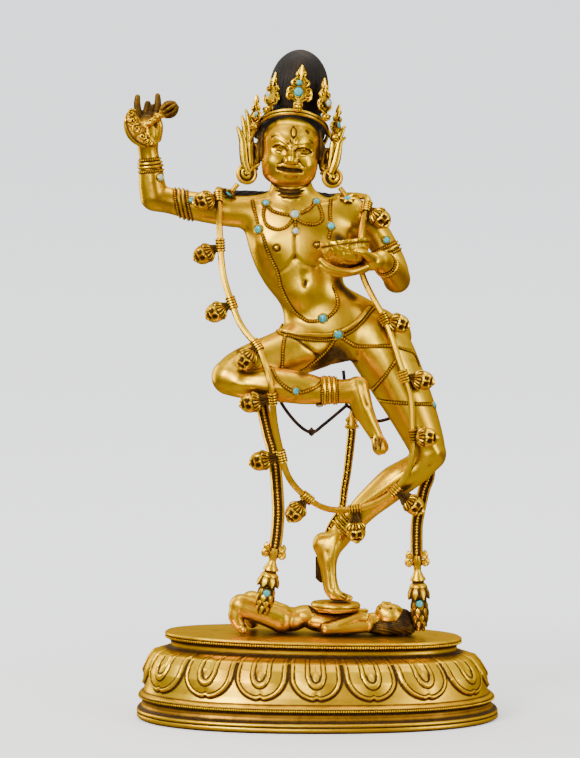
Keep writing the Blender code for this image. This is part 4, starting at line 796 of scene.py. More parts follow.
def figure_jewellery(body):
    """Chains, belt and the rings round arms and legs, with grime and their painted shadow laid on the skin
    beside them.
    """
    trim = Trim("figure_jewellery")
    for chain in CHAINS:
        line = [body.spot(*spot) for spot in chain]
        path = trim.string(line, 0.72)
        # Dark border beside the chain: grime and the chain's painted shadow.
        body.stain_and_shade(path, 1.9, 1.0)
    ring = [body.spot(*spot) for spot in BELT]
    x, y, height, half_width, half_depth, rise = TORSO[2]
    slant = math.radians(rise)
    back = []
    for k in range(1, 10):
        angle = math.pi * k / 10
        across = half_width * math.cos(angle)
        spot = place(x + across * math.cos(slant), y + (half_depth + 6) * math.sin(angle),
                     height - 3.5 + across * math.sin(slant))
        near, normal, _, _ = body.tree.find_nearest(spot)
        back.append((near, normal))
    loop = ring + back
    smooth_path = spaced([p + n * 0.3 * MM for p, n in loop], 1.0 * MM, True)
    trim.rod(smooth_path, 1.25, True, 10, 0.05)
    lower = []
    for p in smooth_path:
        below = p - UP * (2.5 * MM) + (p - place(x, y, height)).normalized() * MM
        near, normal, _, _ = body.tree.find_nearest(below)
        lower.append((near, normal))
    trim.string(lower, 0.6, closed=True)
    # Dark borders beside the belt: grime and its painted shadow.
    body.stain_and_shade(smooth_path[::2], 2.6, 0.8)
    body.stain_and_shade([p for p, _ in lower[::2]], 2.2, 0.85)
    for middle, along, reach, beaded, plain in ARMLETS:
        step = Vector(along).normalized()
        for offsets, beads in ((beaded, True), (plain, False)):
            for offset in offsets:
                spot = [a + b * offset for a, b in zip(middle, step)]
                line = hugging(body, spot, along, reach)
                if beads:
                    trim.string(line, 0.64, 0.6, closed=True)
                else:
                    trim.rod([p + n * 0.5 * MM for p, n in line], 0.8, True, 8, -0.25)
                # Dark border beside each ring: grime and its painted shadow.
                body.stain_and_shade([p for p, _ in line[::2]], 2.0, 0.85)
    return trim


def severed_head():
    """A severed head hanging by its combed hair, as a template in millimetres, up along Z and facing -Y."""
    bpy.ops.object.select_all(action="DESELECT")
    bpy.ops.mesh.primitive_uv_sphere_add(segments=56, ring_count=32, radius=5.2)
    ball = bpy.context.active_object
    co = np.array([tuple(v.co) for v in ball.data.vertices])
    faces = [tuple(p.vertices) for p in ball.data.polygons]
    bpy.data.objects.remove(ball, do_unlink=True)
    unit = co / np.linalg.norm(co, axis=1)[:, None]
    dark = np.zeros(len(co))

    def raise_at(x, z, reach, rise, stain_and_shade=0.0):
        spot = np.array((x, -math.sqrt(max(0.05, 1 - x * x - z * z)), z))
        weight = np.clip(1 - (np.linalg.norm(unit - spot, axis=1) / reach) ** 2, 0, 1) ** 2
        co[:] += unit * (weight * rise)[:, None]
        dark[:] = np.maximum(dark, np.clip(weight * stain_and_shade * 1.6, 0, 1))

    line = unit[:, 2] + 0.30 * unit[:, 1] - 0.24
    hair = np.clip(line / 0.05, 0, 1)
    stripes = np.cos(np.arctan2(unit[:, 0], unit[:, 1]) * 14)
    co += unit * (hair * (0.55 + 0.35 * stripes * np.clip((0.97 - unit[:, 2]) / 0.2, 0, 1)))[:, None]
    dark += hair * np.clip(0.42 - 0.8 * stripes, 0, 1)
    dark += np.clip(1 - np.abs(line + 0.03) / 0.06, 0, 1)
    co[:, 2] *= 1.1
    raise_at(0, -0.72, 0.45, 0.6)
    for side in (-1, 1):
        raise_at(0.36 * side, 0.02, 0.38, -1.5, 1.0)
        raise_at(0.35 * side, 0.0, 0.2, 1.1, 0.5)
        raise_at(0.36 * side, 0.26, 0.24, 0.9)
        raise_at(0.5 * side, -0.32, 0.32, 0.9)
        raise_at(0.15 * side, -0.2, 0.14, 0.7)
    for k in range(5):
        raise_at(0, 0.24 - 0.1 * k, 0.18, 0.5 + 0.18 * k)
    for k in range(7):
        raise_at(-0.27 + 0.09 * k, -0.5, 0.2, -1.1, 1.0)
        raise_at(-0.24 + 0.08 * k, -0.68, 0.13, 0.55)
        raise_at(-0.21 + 0.07 * k, -0.34, 0.09, 0.3)
    # Painted shade: the underside and the back, which faces the body, are darkened.
    dark += np.clip((-0.84 - unit[:, 2]) / 0.06, 0, 1) + np.clip((unit[:, 1] - 0.1) / 0.2, 0, 1) * 0.5
    return co, faces, np.clip(dark, 0, 1)


# The strand of heads as x, height, depth and a mark: 0 laid in front of the body, 1 free, 2 behind it
STRAND = [
    (-58.8, 225, -13, 0), (-58.3, 213, -14, 0), (-57.5, 202.2, -16, 0), (-55.5, 189.6, -19, 0),
    (-51, 178.2, -22, 0),
    (-48.3, 168.6, -25, 0), (-43.2, 160.8, -28, 0), (-38.7, 155.4, -31, 0), (-34.2, 152.7, -33, 0),
    (-32.7, 143.7, -36, 0), (-28.2, 133.8, -41, 0), (-27.3, 123.8, -42, 0), (-26.1, 108, -38, 0),
    (-23.5, 94.8, -34, 0), (-21.9, 88.8, -32, 0), (-18.3, 74.4, -28, 0), (-11.1, 65.4, -24, 0),
    (-7.5, 62.4, -22, 0),
    (1.5, 55.8, -18, 0), (9.9, 53.7, -15, 0), (21.6, 54.6, -12, 0), (29.7, 55.8, -12, 0),
    (38.1, 60.3, -14, 0),
    (47.1, 65.4, -16, 0), (54.3, 77.4, -20, 0), (58.5, 91.8, -22, 0), (56.9, 101.1, -22, 0),
    (56.7, 117, -22, 0),
    (54.9, 128.4, -22, 0), (51.9, 135, -22, 0), (45.9, 153.6, -21, 0), (42.3, 164.4, -20, 0),
    (38.5, 172.8, -18, 0),
    (33.3, 181.2, -16, 0), (29.1, 189.6, -14, 1), (25.8, 197.4, -14, 1), (25, 208, -15, 1),
    (26.7, 220.2, -15, 1),
    (28, 230, -12, 1), (29, 238, -4, 1), (28, 242, 4, 1), (20, 244, 12, 2), (5, 243, 17, 2),
    (-15, 244, 20, 2),
    (-35, 243, 18, 2), (-50, 243, 12, 2), (-58, 246, 5, 1), (-60, 247, -2, 1), (-59.8, 241, -9, 1),
    (-59.1, 236, -12, 1),
]
# Each severed head: the spot of its knot on the strand and the spot of its middle, as x and height
SEVERED_HEADS = [
    ((-59.5, 241.5), (-68.3, 239.4)), ((-57, 212), (-68.1, 207.6)), ((-51, 178), (-60.9, 172.8)),
    ((-34.2, 152.7), (-43.1, 144.2)), ((-27.3, 123.8), (-40, 118.5)), ((-21.9, 89.5), (-34.2, 83.6)),
    ((-7.5, 62.4), (-13.3, 52.8)), ((21.6, 54.9), (23.1, 41.6)), ((47, 65.4), (57.9, 57)),
    ((56.9, 101), (65.7, 97.8)), ((51.8, 135), (63.3, 132)), ((39.5, 168.3), (48.7, 166)),
    ((30.3, 234.6), (36.9, 228.6)),
]


def clear_of(tree, point, clearance):
    for _ in range(12):
        near, normal, _, distance = tree.find_nearest(point)
        side = (point - near).dot(normal)
        if side > 0 and distance >= clearance:
            break
        if side > 0:
            point = point + (point - near).normalized() * (clearance - distance + 1e-5)
        else:
            point = near + normal * (clearance + 1e-5)
    return point


def in_front(tree, x, height, depth, clearance):
    point = seen(x, height, depth)
    hit = tree.ray_cast(EYE, (point - EYE).normalized())[0]
    if hit is not None and hit.y - clearance < point.y:
        point = seen(x, height, (hit.y - clearance) / MM)
    return point


def strand_points(tree, clearance):
    points = []
    for x, height, depth, side in STRAND:
        if side == 0:
            points.append(in_front(tree, x, height, depth, clearance))
        elif side == 2:
            point = place(x, depth, height)
            hit = tree.ray_cast(Vector((point.x, 1.0, point.z)), DOWN_Y)[0]
            if hit is not None and hit.y + clearance > point.y:
                point.y = hit.y + clearance
            points.append(point)
        else:
            points.append(seen(x, height, depth))
    fine = spaced(points, 4 * MM, True)
    for _ in range(4):
        fine = [clear_of(tree, point, clearance) for point in fine]
        count = len(fine)
        fine = [(fine[i - 1] + 2 * fine[i] + fine[(i + 1) % count]) / 4 for i in range(count)]
    return [clear_of(tree, point, clearance) for point in fine]


def head_garland(body):
    """A smooth rod of a strand with striped knots, each with a severed head hanging from it."""
    trim = Trim("garland_of_heads")
    path = strand_points(body.tree, 2.8 * MM)
    trim.rod(path, 1.95, True, 8, 0.0, 1.2 * MM)
    head = severed_head()
    for knot, hung in SEVERED_HEADS:
        want = seen(knot[0], knot[1], 0)
        index = min(range(len(path)), key=lambda i: (path[i].x - want.x) ** 2 + (path[i].z - want.z) ** 2
                    + (1.0 if path[i].y > 0.004 else 0.0))
        spot = path[index]
        along = (path[(index + 1) % len(path)] - path[index - 1]).normalized()
        for offset in (-3.2, -1.6, 0, 1.6, 3.2):
            middle = spot + along * (offset * MM)
            across = along.orthogonal().normalized()
            other = along.cross(across)
            loop = [middle + (across * math.cos(a) + other * math.sin(a)) * (2.45 * MM)
                    for a in (2 * math.pi * k / 12 for k in range(12))]
            trim.rod(loop, 0.66, True, 6, 0.0, 1.1 * MM)
        trim.rod([spot - along * (3.9 * MM), spot, spot + along * (3.9 * MM)], 2.4, sides=12, dark=1.0)
        centre = in_front(body.tree, hung[0], hung[1], spot.y / MM, 6.6 * MM)
        centre = clear_of(body.tree, centre, 6.9 * MM)
        away = (centre - spot).normalized()
        look = (away * 0.30 + DOWN_Y).normalized()
        up = (-away - look * -away.dot(look)).normalized()
        side = look.cross(up).normalized()
        turn = Matrix((side, -look, up)).transposed().to_4x4()
        trim.copy(head, Matrix.Translation(centre + away * (0.4 * MM)) @ turn @ Matrix.Scale(MM * 1.1, 4))
        steps = [spot.lerp(centre, t) for t in (0.15, 0.27, 0.4, 0.52, 0.62)]
        cross = away.orthogonal().normalized()
        ridge = []
        for k in range(24):
            reach = 1.6 * MM * (1 + 0.14 * math.cos(k * math.pi))
            ridge.append((reach * math.cos(2 * math.pi * k / 24), reach * math.sin(2 * math.pi * k / 24)))
        trim.sweep(steps, ridge, [1.0, 1.2, 1.6, 2.2, 2.6], cross, dark=[0.55, 1.0] * 12)
    return trim


def node_points(name):
    return np.array([tuple(v.co) for v in frame["nodes"][name].data.vertices])


def node_depth(name, spot, reach):
    """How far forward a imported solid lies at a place, as the middle of its points near there."""
    points = node_points(name)
    away = np.hypot(points[:, 0] - spot.x, points[:, 2] - spot.z)
    near = points[away < reach]
    if not len(near):
        near = points[np.argsort(away)[:8]]
    return (near[:, 1].min() + near[:, 1].max()) / 2


def turned(trim, profile, matrix, sides):
    """A shape turned round its own z axis from (radius, height, grime) rows, added to a trim."""
    points, faces, stain_and_shade = [], [], []
    for radius, height, shade in profile:
        for k in range(sides):
            angle = 2 * math.pi * k / sides
            points.append((radius * math.cos(angle), radius * math.sin(angle), height))
            stain_and_shade.append(shade)
    for row in range(len(profile) - 1):
        for k in range(sides):
            j = (k + 1) % sides
            faces.append((row * sides + k, row * sides + j, (row + 1) * sides + j, (row + 1) * sides + k))
    faces.append(tuple(reversed(range(sides))))
    faces.append(tuple((len(profile) - 1) * sides + k for k in range(sides)))
    spin = np.array(matrix.to_3x3())
    trim.add(np.array(points) @ spin.T + np.array(matrix.translation), faces, np.array(stain_and_shade))


def leaf_shape(length, width, bend, sides=10, rows=9):
    """A pointed leaf growing down from the origin and bending out along x, veined by its own darkness."""
    shape = Trim("leaf")
    path = []
    wide = []
    for k in range(rows):
        t = k / (rows - 1)
        path.append(Vector((bend * t * t * length, 0, -length * t)))
        wide.append(width * max(0.04, math.sin(math.pi * min(1, 0.18 + 0.82 * t)) ** 0.8))
    outline = [(math.cos(a), 0.42 * math.sin(a) + (0.25 if abs(math.cos(a)) < 0.2 and math.sin(a) > 0 else 0))
               for a in (2 * math.pi * k / sides for k in range(sides))]
    shape.sweep(path, outline, wide, (1, 0, 0), dark=[0.75 if abs(a) > 0.75 else 0.15 for a, _ in outline])
    return np.concatenate(shape.points), shape.faces, np.concatenate(shape.dark)


def ringed(trim, template, matrix, radius, count, turn=0.0):
    for k in range(count):
        spin = Matrix.Rotation(2 * math.pi * k / count + turn, 4, "Z") @ Matrix.Translation((radius, 0, 0))
        trim.copy(template, matrix @ spin)


def curl(trim, matrix, centre, radius, turns, wire, start=0.0, side=1, dark=0.1):
    """A flat scroll in the local xz plane, thinning to its eye."""
    points = []
    count = max(8, int(14 * turns))
    for k in range(count + 1):
        t = k / count
        angle = start + side * 2 * math.pi * turns * t
        reach = radius * (1 - 0.8 * t)
        points.append(matrix @ Vector((centre[0] + reach * math.cos(angle), centre[1] - 0.5 * MM * t,
                                       centre[2] + reach * math.sin(angle))))
    trim.rod(points, wire, sides=8, dark=dark, step=0.7 * wire * MM, widths=[1.0, 0.9, 0.75])


# Straps from top to bottom as x, height and depth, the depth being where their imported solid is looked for
RIGHT_STRAP = [(-19, 165, 18), (-25, 152, 12), (-30, 138, 8), (-32.5, 126, 2), (-33, 117, -6),
               (-29.3, 99.6, -12),
               (-26, 86.4, -16), (-23.6, 57, -20), (-24.2, 41.4, -22), (-25.3, 33, -24)]
LEFT_STRAP = [(37, 169, 24), (44, 152, 22), (52, 130, 18), (60, 108, 13), (66.5, 88, 10), (66.9, 75, 9),
              (63.9, 66, 8), (60.7, 51.6, 4), (59.6, 43.2, 1), (59.6, 28.4, -5)]
BACK_STRAP = [(20.6, 103, 14), (20.2, 97.5, 14), (18, 78, 14), (16.2, 67, 14), (14.5, 55, 14), (9, 46, 14),
              (5, 37, 15), (2.5, 29, 15)]
# The strap's cross-section as across, out and grime: two raised rails and a beaded groove
STRAP_SECTION = [(-3.2, -1.15, 0.3), (3.2, -1.15, 0.3), (3.7, -0.6, 0.25), (3.75, 0.5, 0.1), (3.3, 1.25, 0),
                 (2.7, 1.3, 0), (2.2, 0.8, 0.55), (1.9, 0.1, 0.95), (-1.9, 0.1, 0.95), (-2.2, 0.8, 0.55),
                 (-2.7, 1.3, 0), (-3.3, 1.25, 0), (-3.75, 0.5, 0.1), (-3.7, -0.6, 0.25)]


def strap_path(node, run):
    """A strap's line as the photograph shows it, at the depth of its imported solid."""
    points = []
    for x, height, depth in run:
        fixed = node_depth(node, seen(x, height, depth), 4.4 * MM)
        flat = place(x, 0, height)
        points.append(flat + (flat - EYE) * ((fixed - flat.y) / (flat.y - EYE.y)))
    return points


def hanging_strap(name, node, run, lean, stretch):
    """A flat strap with beaded groove, and the scrolled, leafy ornament that hangs under it."""
    trim = Trim(name)
    path = spaced(strap_path(node, run), 1.6 * MM)
    count = len(path) - 1
    wide = [1.0 - 0.2 * max(0.0, 1 - 6 * k / count) for k in range(count + 1)]
    section = [(a * MM, b * MM) for a, b, _ in STRAP_SECTION]
    grimes = [grime_and_shade for _, _, grime_and_shade in STRAP_SECTION]
    trim.sweep(path, section, wide, (0, -1, 0), dark=grimes)
    down = Vector((lean, 0, -1))
    last = path[-1]
    end = Vector((last.x, node_depth(node, last + down * (20 * stretch * MM), 7 * MM), last.z))
    upward = -down.normalized()
    ahead = Vector((0, 1, 0))
    frame_down = Matrix((ahead.cross(upward), ahead, upward)).transposed().to_4x4()
    frame_down.translation = end + down * (2.6 * MM)
    frame_down = frame_down @ Matrix.Diagonal((1, 1, stretch, 1))
    row = spaced([p + Vector((0, -0.5 * MM, 0)) for p in path[2:]] + [end + down * (4 * MM)], 1.85 * MM)
    trim.beads(row, 1.0, -0.7, 8, 5)
    trim.sweep([path[-2], last.lerp(end, 0.5), end + down * (8 * MM)], section, [1.0, 1.0, 0.7], (0, -1, 0),
               dark=grimes)
    for side in (-1, 1):
        for level, radius, out in ((0.8, 1.9, 4.0), (-3.0, 2.1, 4.5)):
            for deep in (-1.0, 0.6):
                curl(trim, frame_down, (side * out * MM, deep * MM, level * MM), radius * MM, 1.0, 1.5,
                     math.pi / 2, -side, 0.0)
            eye = frame_down @ Vector((side * (out - 0.2) * MM, -0.4 * MM, level * MM))
            trim.beads([eye], 1.8, 0.0, 14, 9)
            trim.rod([frame_down @ Vector((side * x * MM, 0.2 * MM, z * MM)) for x, z in
                      ((1.5, level - 0.6), (out, level))], 1.2, sides=8, dark=0.7)
    vase = [(0.2, 1.0, 0.0), (2.6, 0.6, 0.0), (2.9, -3.6, 0.2), (2.3, -5.4, 0), (2.2, -7.4, 0), (3.2, -9.6, 0),
            (4.5, -11.6, 0), (4.7, -12.6, 0), (3.6, -13.3, 0.8), (3.5, -13.9, 0.5), (4.6, -14.8, 0),
            (5.5, -16.0, 0.05), (5.5, -16.8, 0.3), (4.4, -17.4, 0.9), (3.7, -18, 1.0), (4.4, -20, 1.0),
            (4.7, -24, 1.0), (4.7, -28.5, 1.0), (3.9, -32.5, 1.0), (2.5, -36.5, 1.0), (0.2, -39.5, 0.7)]
    turned(trim, [(r * MM, z * MM, d) for r, z, d in vase], frame_down, 28)
    petal = leaf_shape(6.0 * MM, 3.9 * MM, 0.42)
    ringed(trim, petal, frame_down @ Matrix.Translation((0, 0, -17.0 * MM)), 4.4 * MM, 8, math.pi / 8)
    for level, radius, turn, size in ((-21.4, 3.5, 0, 0.9), (-24.4, 4.2, 0.42, 1.0), (-27.6, 4.5, 0, 1.0),
                                      (-30.8, 4.1, 0.42, 0.98), (-33.8, 3.2, 0, 0.9), (-36.4, 2.0, 0.42, 0.8)):
        frond = leaf_shape(5.2 * size * MM, 2.7 * size * MM, 0.14)
        ringed(trim, frond, frame_down @ Matrix.Translation((0, 0, level * MM)), radius * MM,
               7 if radius > 3 else 5, turn)
    return trim


def back_strap():
    """The narrower strap behind the legs: twisted wire, a leaf at its top and a dark tassel."""
    trim = Trim("back_strap")
    path = spaced(strap_path("pendant_back", BACK_STRAP), 1.6 * MM)
    section = [(a * 0.72 * MM, b * MM) for a, b, _ in STRAP_SECTION]
    count = len(path) - 1
    trim.sweep(path, section, [1.0 - 0.25 * k / count for k in range(count + 1)], (0, -1, 0),
               dark=[d * 0.8 for _, _, d in STRAP_SECTION])
    for k, spot in enumerate(spaced(path[1:-1], 2.6 * MM)):
        drift = Vector((0.5 * MM if k % 2 else -0.5 * MM, -0.3 * MM, 0))
        twist = [spot + drift + UP * MM, spot - drift * 0.6 + DOWN_Y * (0.7 * MM), spot + drift - UP * MM]
        trim.rod(twist, 0.75, sides=6, dark=-0.3)
    top = path[0]
    leaf = [top + UP * (k * 1.5 * MM) for k in range(11)]
    trim.sweep(leaf, [(2.9 * MM * math.cos(a), 1.4 * MM * math.sin(a)) for a in
                      (2 * math.pi * k / 16 for k in range(16))],
               [0.9, 1.12, 1.16, 0.9, 1.0, 0.8, 0.55, 0.4, 0.34, 0.3, 0.28], (0, -1, 0), dark=0.1)
    for side in (-1, 1):
        for level, reach in ((1.6, 2.8), (5.6, 2.4)):
            curl(trim, Matrix.Translation(top), (side * reach * MM, -1.2 * MM, level * MM), 1.3 * MM, 0.9, 0.6,
                 -math.pi / 2, side)
    low = Matrix.Translation(path[-1])
    tassel = [(0.3, 3), (2.8, 2), (3.2, 0), (3.3, -2), (2.6, -2.6), (3.3, -4), (3.5, -12), (3.0, -17),
              (1.2, -18.6), (0.2, -19)]
    turned(trim, [(r * MM, z * MM, 0.85) for r, z in tassel], low, 24)
    for k in range(16):
        angle = 2 * math.pi * k / 16
        foot = low @ Vector((3.3 * MM * math.cos(angle), 3.3 * MM * math.sin(angle), -3 * MM))
        trim.rod([foot, foot - UP * (7 * MM), foot - UP * (13.4 * MM)], 0.5, sides=6, dark=0.7)
    return trim


# Crown leaves: photograph spots of skull and tip, depth, half width in millimetres, turn from the front in
# degrees, and the side on which a set stone leaves out the lower curls, or 0
CROWN_LEAVES = [
    ((297.6, 110.6), (302.6, 66.4), -21, 7.5, 0, 0),
    ((324.4, 120.6), (323.6, 79.4), -14.8, 5.6, 40, 1),
    ((269.1, 114.0), (277.4, 73.6), -6.2, 7.0, -48, -1),
    ((332.7, 140.4), (338.6, 105.6), -5.4, 5.2, 55, 1),
    ((255.9, 129.4), (257.9, 95.6), -7.0, 5.2, -52, -1),
]
# A leaf's outline from foot to tip: share of its height, share of its half width
LEAF_PROFILE = [(0.0, 0.30), (0.06, 0.40), (0.12, 0.40), (0.17, 0.34), (0.21, 0.50), (0.26, 0.80),
                (0.32, 0.98),
                (0.38, 1.0), (0.44, 0.90), (0.48, 0.66), (0.52, 0.60), (0.57, 0.72), (0.63, 0.70),
                (0.68, 0.48),
                (0.73, 0.34), (0.78, 0.36), (0.84, 0.38), (0.90, 0.26), (0.96, 0.13), (1.0, 0.04)]
# The headband's ring in the head's frame: centre x, y, z, half width, half depth, tip back in degrees
CROWN_BAND = (0.5, 1.0, 28.6, 21.0, 22.0, 26.0)
# Ribbon tails beside the ears, three a side, as photograph spots with half widths in millimetres
RIBBONS = [
    [(248.6, 173, 2.0), (245, 164, 2.6), (243.6, 152, 2.7), (243.0, 143, 2.5), (240.4, 134, 2.0),
     (236.6, 127.6, 0.7)],
    [(246.4, 150, 1.2), (246.2, 138, 1.9), (244.6, 126, 1.9), (241.6, 116.6, 0.7)],
    [(251.4, 171, 1.6), (250.4, 152, 2.1), (250.2, 136, 2.3), (249.2, 124, 2.3), (247.6, 116, 1.8),
     (245.4, 110.4, 0.7)],
    [(331.2, 174, 1.9), (335.6, 163, 2.6), (338.3, 151, 2.6), (339.8, 144, 2.2), (342.4, 140.6, 1.7),
     (345.6, 138.0, 0.7)],
    [(336.4, 153, 1.2), (338.4, 141, 1.9), (341.6, 133, 1.8), (345.2, 126.6, 0.7)],
    [(329.4, 171, 1.6), (332, 156, 2.1), (333.8, 142, 2.3), (336.6, 133, 1.8), (338.8, 128, 0.7)],
]


def crown_leaf(trim, foot, tip, depth, half_width, turn, stone_side):
    """A palmette over a little skull, set upright on the band."""
    low = pixel(*foot, depth)
    high = pixel(*tip, depth + 1.5)
    rise = (high - low).normalized()
    outward = Vector((math.sin(math.radians(turn)), -math.cos(math.radians(turn)), 0))
    back = -(outward - rise * outward.dot(rise)).normalized()
    spin = Matrix((back.cross(rise), back, rise)).transposed().to_4x4()
    spin.translation = low
    height = (high - low).length / MM

    def on_leaf(wide, deep, up):
        return spin @ Vector((wide * half_width * MM, deep * MM, up * height * MM))

    section = [(math.cos(a) * half_width * MM, 1.0 * MM * math.sin(a)) for a in
               (2 * math.pi * k / 20 for k in range(20))]
    wide = [share for _, share in LEAF_PROFILE]
    trim.sweep([on_leaf(0, 0, up) for up, _ in LEAF_PROFILE], section, wide, -back,
               dark=[0.9 if abs(math.cos(2 * math.pi * k / 20)) > 0.9 else 0.05 for k in range(20)])
    lines = (([(0.17, 0.2), (0.21, 0.4), (0.27, 0.78), (0.35, 0.96), (0.43, 0.86), (0.47, 0.62)],
              -0.5, 0.6, 8, 0),
             ([(0.50, 0.5), (0.56, 0.66), (0.62, 0.66), (0.69, 0.36), (0.74, 0.22)], -0.5, 0.55, 8, 0),
             ([(0.19, 0.12), (0.25, 0.4), (0.33, 0.52)], -1.2, 0.3, 6, 1.0))
    for side in (-1, 1):
        for up, wide, radius in ((0.30, 0.66, 0.36), (0.42, 0.66, 0.30), (0.59, 0.44, 0.26),
                                 (0.79, 0.20, 0.18)):
            if side == stone_side and up < 0.5:
                continue
            curl(trim, spin, (side * wide * half_width * MM, -1.2 * MM, up * height * MM),
                 radius * half_width * MM, 1.1, 0.62, -math.pi / 2, side, 0.0)
        for run, deep, radius, sides, dark in lines:
            trim.rod([on_leaf(side * wide, deep, up) for up, wide in run], radius, sides=sides, dark=dark)
    spine = [on_leaf(0, -1.1, up) for up in (0.66, 0.80, 0.92, 0.99)]
    trim.rod(spine, 0.8, sides=8, widths=[0.8, 1.3, 1.0, 0.4])
    small = (0.55 + 0.45 * half_width / 7.4) * MM
    skull = spin @ Matrix.Translation((0, -1.4 * MM, 1.2 * MM))
    shape, faces = bead_shape(2.75 * small, 20, 14)
    trim.copy((shape, faces, np.full(len(shape), 0.1)), skull)
    for side in (-1, 1):
        eye = skull @ Matrix.Translation((side * 1.15 * small, -2.1 * small, 0.3 * small))
        turned(trim, [(1.2 * small, -0.6 * small, 0), (1.1 * small, 0.5 * small, 0.2),
                      (0.85 * small, 0.55 * small, 1.0), (0.5 * small, 0.0, 1.0)],
               eye @ Matrix.Rotation(math.radians(90), 4, "X"), 14)
    jaw = [skull @ Vector((x * small, -2.2 * small, -1.9 * small)) for x in (-1.2, -0.4, 0.4, 1.2)]
    trim.beads(jaw, 0.5 * small / MM, 0.0, 8, 5)
    gums = [p - back * (0.1 * small) + rise * (0.55 * small) for p in jaw]
    trim.rod(gums, 0.3 * small / MM, sides=6, dark=1.0)


def crown(hair):
    """The leafed headband, and the ribbon tails that rise beside the ears."""
    trim = Trim("crown_of_leaves")
    x0, y0, z0, rx, ry, tip_back = CROWN_BAND
    slope = math.radians(tip_back)
    band = []
    for k in range(48):
        angle = 2 * math.pi * k / 48
        forward = -math.sin(angle) * ry
        spot = on_head(x0 + rx * math.cos(angle), y0 - forward * math.cos(slope),
                       z0 + forward * math.sin(slope))
        near, normal, _, _ = hair.tree.find_nearest(spot)
        pull = min(1.0, max(0.0, -forward / ry * 2))
        band.append(spot.lerp(near + normal * 1.8 * MM, pull))
    up = (head_frame().to_3x3() @ UP).normalized()
    trim.rod([p + up * (0.7 * MM) for p in band], 0.95, True, 10, 0.0)
    trim.rod([p - up * (1.0 * MM) for p in band], 0.85, True, 10, 0.0)
    trim.rod([p - up * (0.15 * MM) for p in band], 0.8, True, 8, 1.0)
    for leaf in CROWN_LEAVES:
        crown_leaf(trim, *leaf)
    for leaf, first in ((CROWN_LEAVES[4], RIBBONS[0]), (CROWN_LEAVES[3], RIBBONS[3])):
        low = pixel(*leaf[0], leaf[2])
        near = min(band, key=lambda p: (p - low).length)
        trim.rod([near, low], 1.5, sides=10, dark=0.3)
        px, py, _ = first[3]
        trim.rod([low, pixel(px + (7 if px < 290 else -5), py, -5)], 1.2, sides=10, dark=0.3)
    section = [(math.cos(a) * MM, 0.55 * math.sin(a) * MM) for a in (2 * math.pi * k / 14 for k in range(14))]
    edges = [0.9 if abs(x) > 0.9 * MM else 0.0 for x, _ in section]
    for number, run in enumerate(RIBBONS):
        depth = -5.5 + 0.7 * (number % 3)
        path = spaced([pixel(px, py, depth) for px, py, _ in run], 1.2 * MM)
        share = [k / (len(path) - 1) * (len(run) - 1) for k in range(len(path))]
        wide = np.interp(share, range(len(run)), [half_width for _, _, half_width in run]).tolist()
        trim.sweep(path, section, wide, (0, -1, 0), dark=edges)
        trim.rod([p + DOWN_Y * (0.5 * w * MM) for p, w in zip(path[:-3], wide)], 0.25, sides=6, dark=1.0)
    return trim


def earring(name, node, stone):
    """A ring with an inner scroll, its hook from the lobe, and the flower hanging from it."""
    trim = Trim(name)
    right = "right" in name
    points = node_points(node)
    high = points[points[:, 2] > points[:, 2].max() - 9 * MM]
    middle = Vector(((high[:, 0].min() + high[:, 0].max()) / 2, (high[:, 1].min() + high[:, 1].max()) / 2,
                     (high[:, 2].min() + high[:, 2].max()) / 2))
    loop = [middle + Vector((math.cos(a), 0.15 * math.cos(a), math.sin(a))) * (5.3 * MM)
            for a in (2 * math.pi * k / 28 for k in range(28))]
    trim.rod(loop, 1.2, True, 12, 0.0)
    trim.rod([p.lerp(middle, 0.26) for p in loop], 0.5, True, 8, 1.0)
    curl(trim, Matrix.Translation(middle), (0.3 * MM, -0.6 * MM, 0), 3.1 * MM, 1.2, 1.0,
         2.2 if right else 0.9, 1 if right else -1, 0.0)
    disc = [(0.3 * MM, -0.9 * MM, 1.0), (4.3 * MM, -0.6 * MM, 1.0), (4.3 * MM, 0.3 * MM, 1.0),
            (0.3 * MM, 0.5 * MM, 1.0)]
    turned(trim, disc, Matrix.Translation(middle) @ Matrix.Rotation(math.radians(90), 4, "X"), 24)
    lobe = pixel(*((259.6, 165) if right else (321.4, 168.6)), -4.6)
    trim.rod([lobe, lobe.lerp(middle, 0.5) + UP * (0.4 * MM), middle + DOWN_Y * MM], 1.0, sides=10,
             widths=[0.7, 1.0, 1.1])
    bloom = Vector(node_points(stone).mean(0))
    normal = stone_place(stone)[1]
    face = Matrix.Translation(bloom) @ normal.to_track_quat("Z", "Y").to_matrix().to_4x4()
    trim.rod([middle.lerp(bloom, 0.5), bloom + (middle - bloom).normalized() * MM], 1.5, sides=10, dark=0.2)
    petal = leaf_shape(4.4 * MM, 2.1 * MM, 0.25)
    for k in range(7):
        spin = Matrix.Rotation(2 * math.pi * k / 7, 4, "Z") @ Matrix.Translation((0, 0.9 * MM, -0.9 * MM))
        trim.copy(petal, face @ spin @ Matrix.Rotation(math.radians(90), 4, "X")
                  @ Matrix.Rotation(math.radians(90), 4, "Z"))
    turned(trim, [(0.3 * MM, -2.6 * MM, 0.9), (2.6 * MM, -2.0 * MM, 0.9), (3.4 * MM, -1.0 * MM, 0.9),
                  (2.6 * MM, -0.2 * MM, 0.6)], face, 20)
    return trim


def stone_place(node):
    """A set stone's middle, the way it faces, and its radius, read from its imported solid."""
    points = np.unique(np.round(node_points(node), 7), axis=0)
    middle = points.mean(0)
    _, _, axes = np.linalg.svd(points - middle)
    normal = axes[2]
    along = (points - middle) @ normal
    spread = np.linalg.norm((points - middle) - along[:, None] * normal, axis=1)
    low = along[spread > spread.max() * 0.9].mean()
    if low > 0:
        normal = -normal
        along = -along
        low = -low
    base = middle + normal * low
    return Vector(base), Vector(normal), float(spread.max())


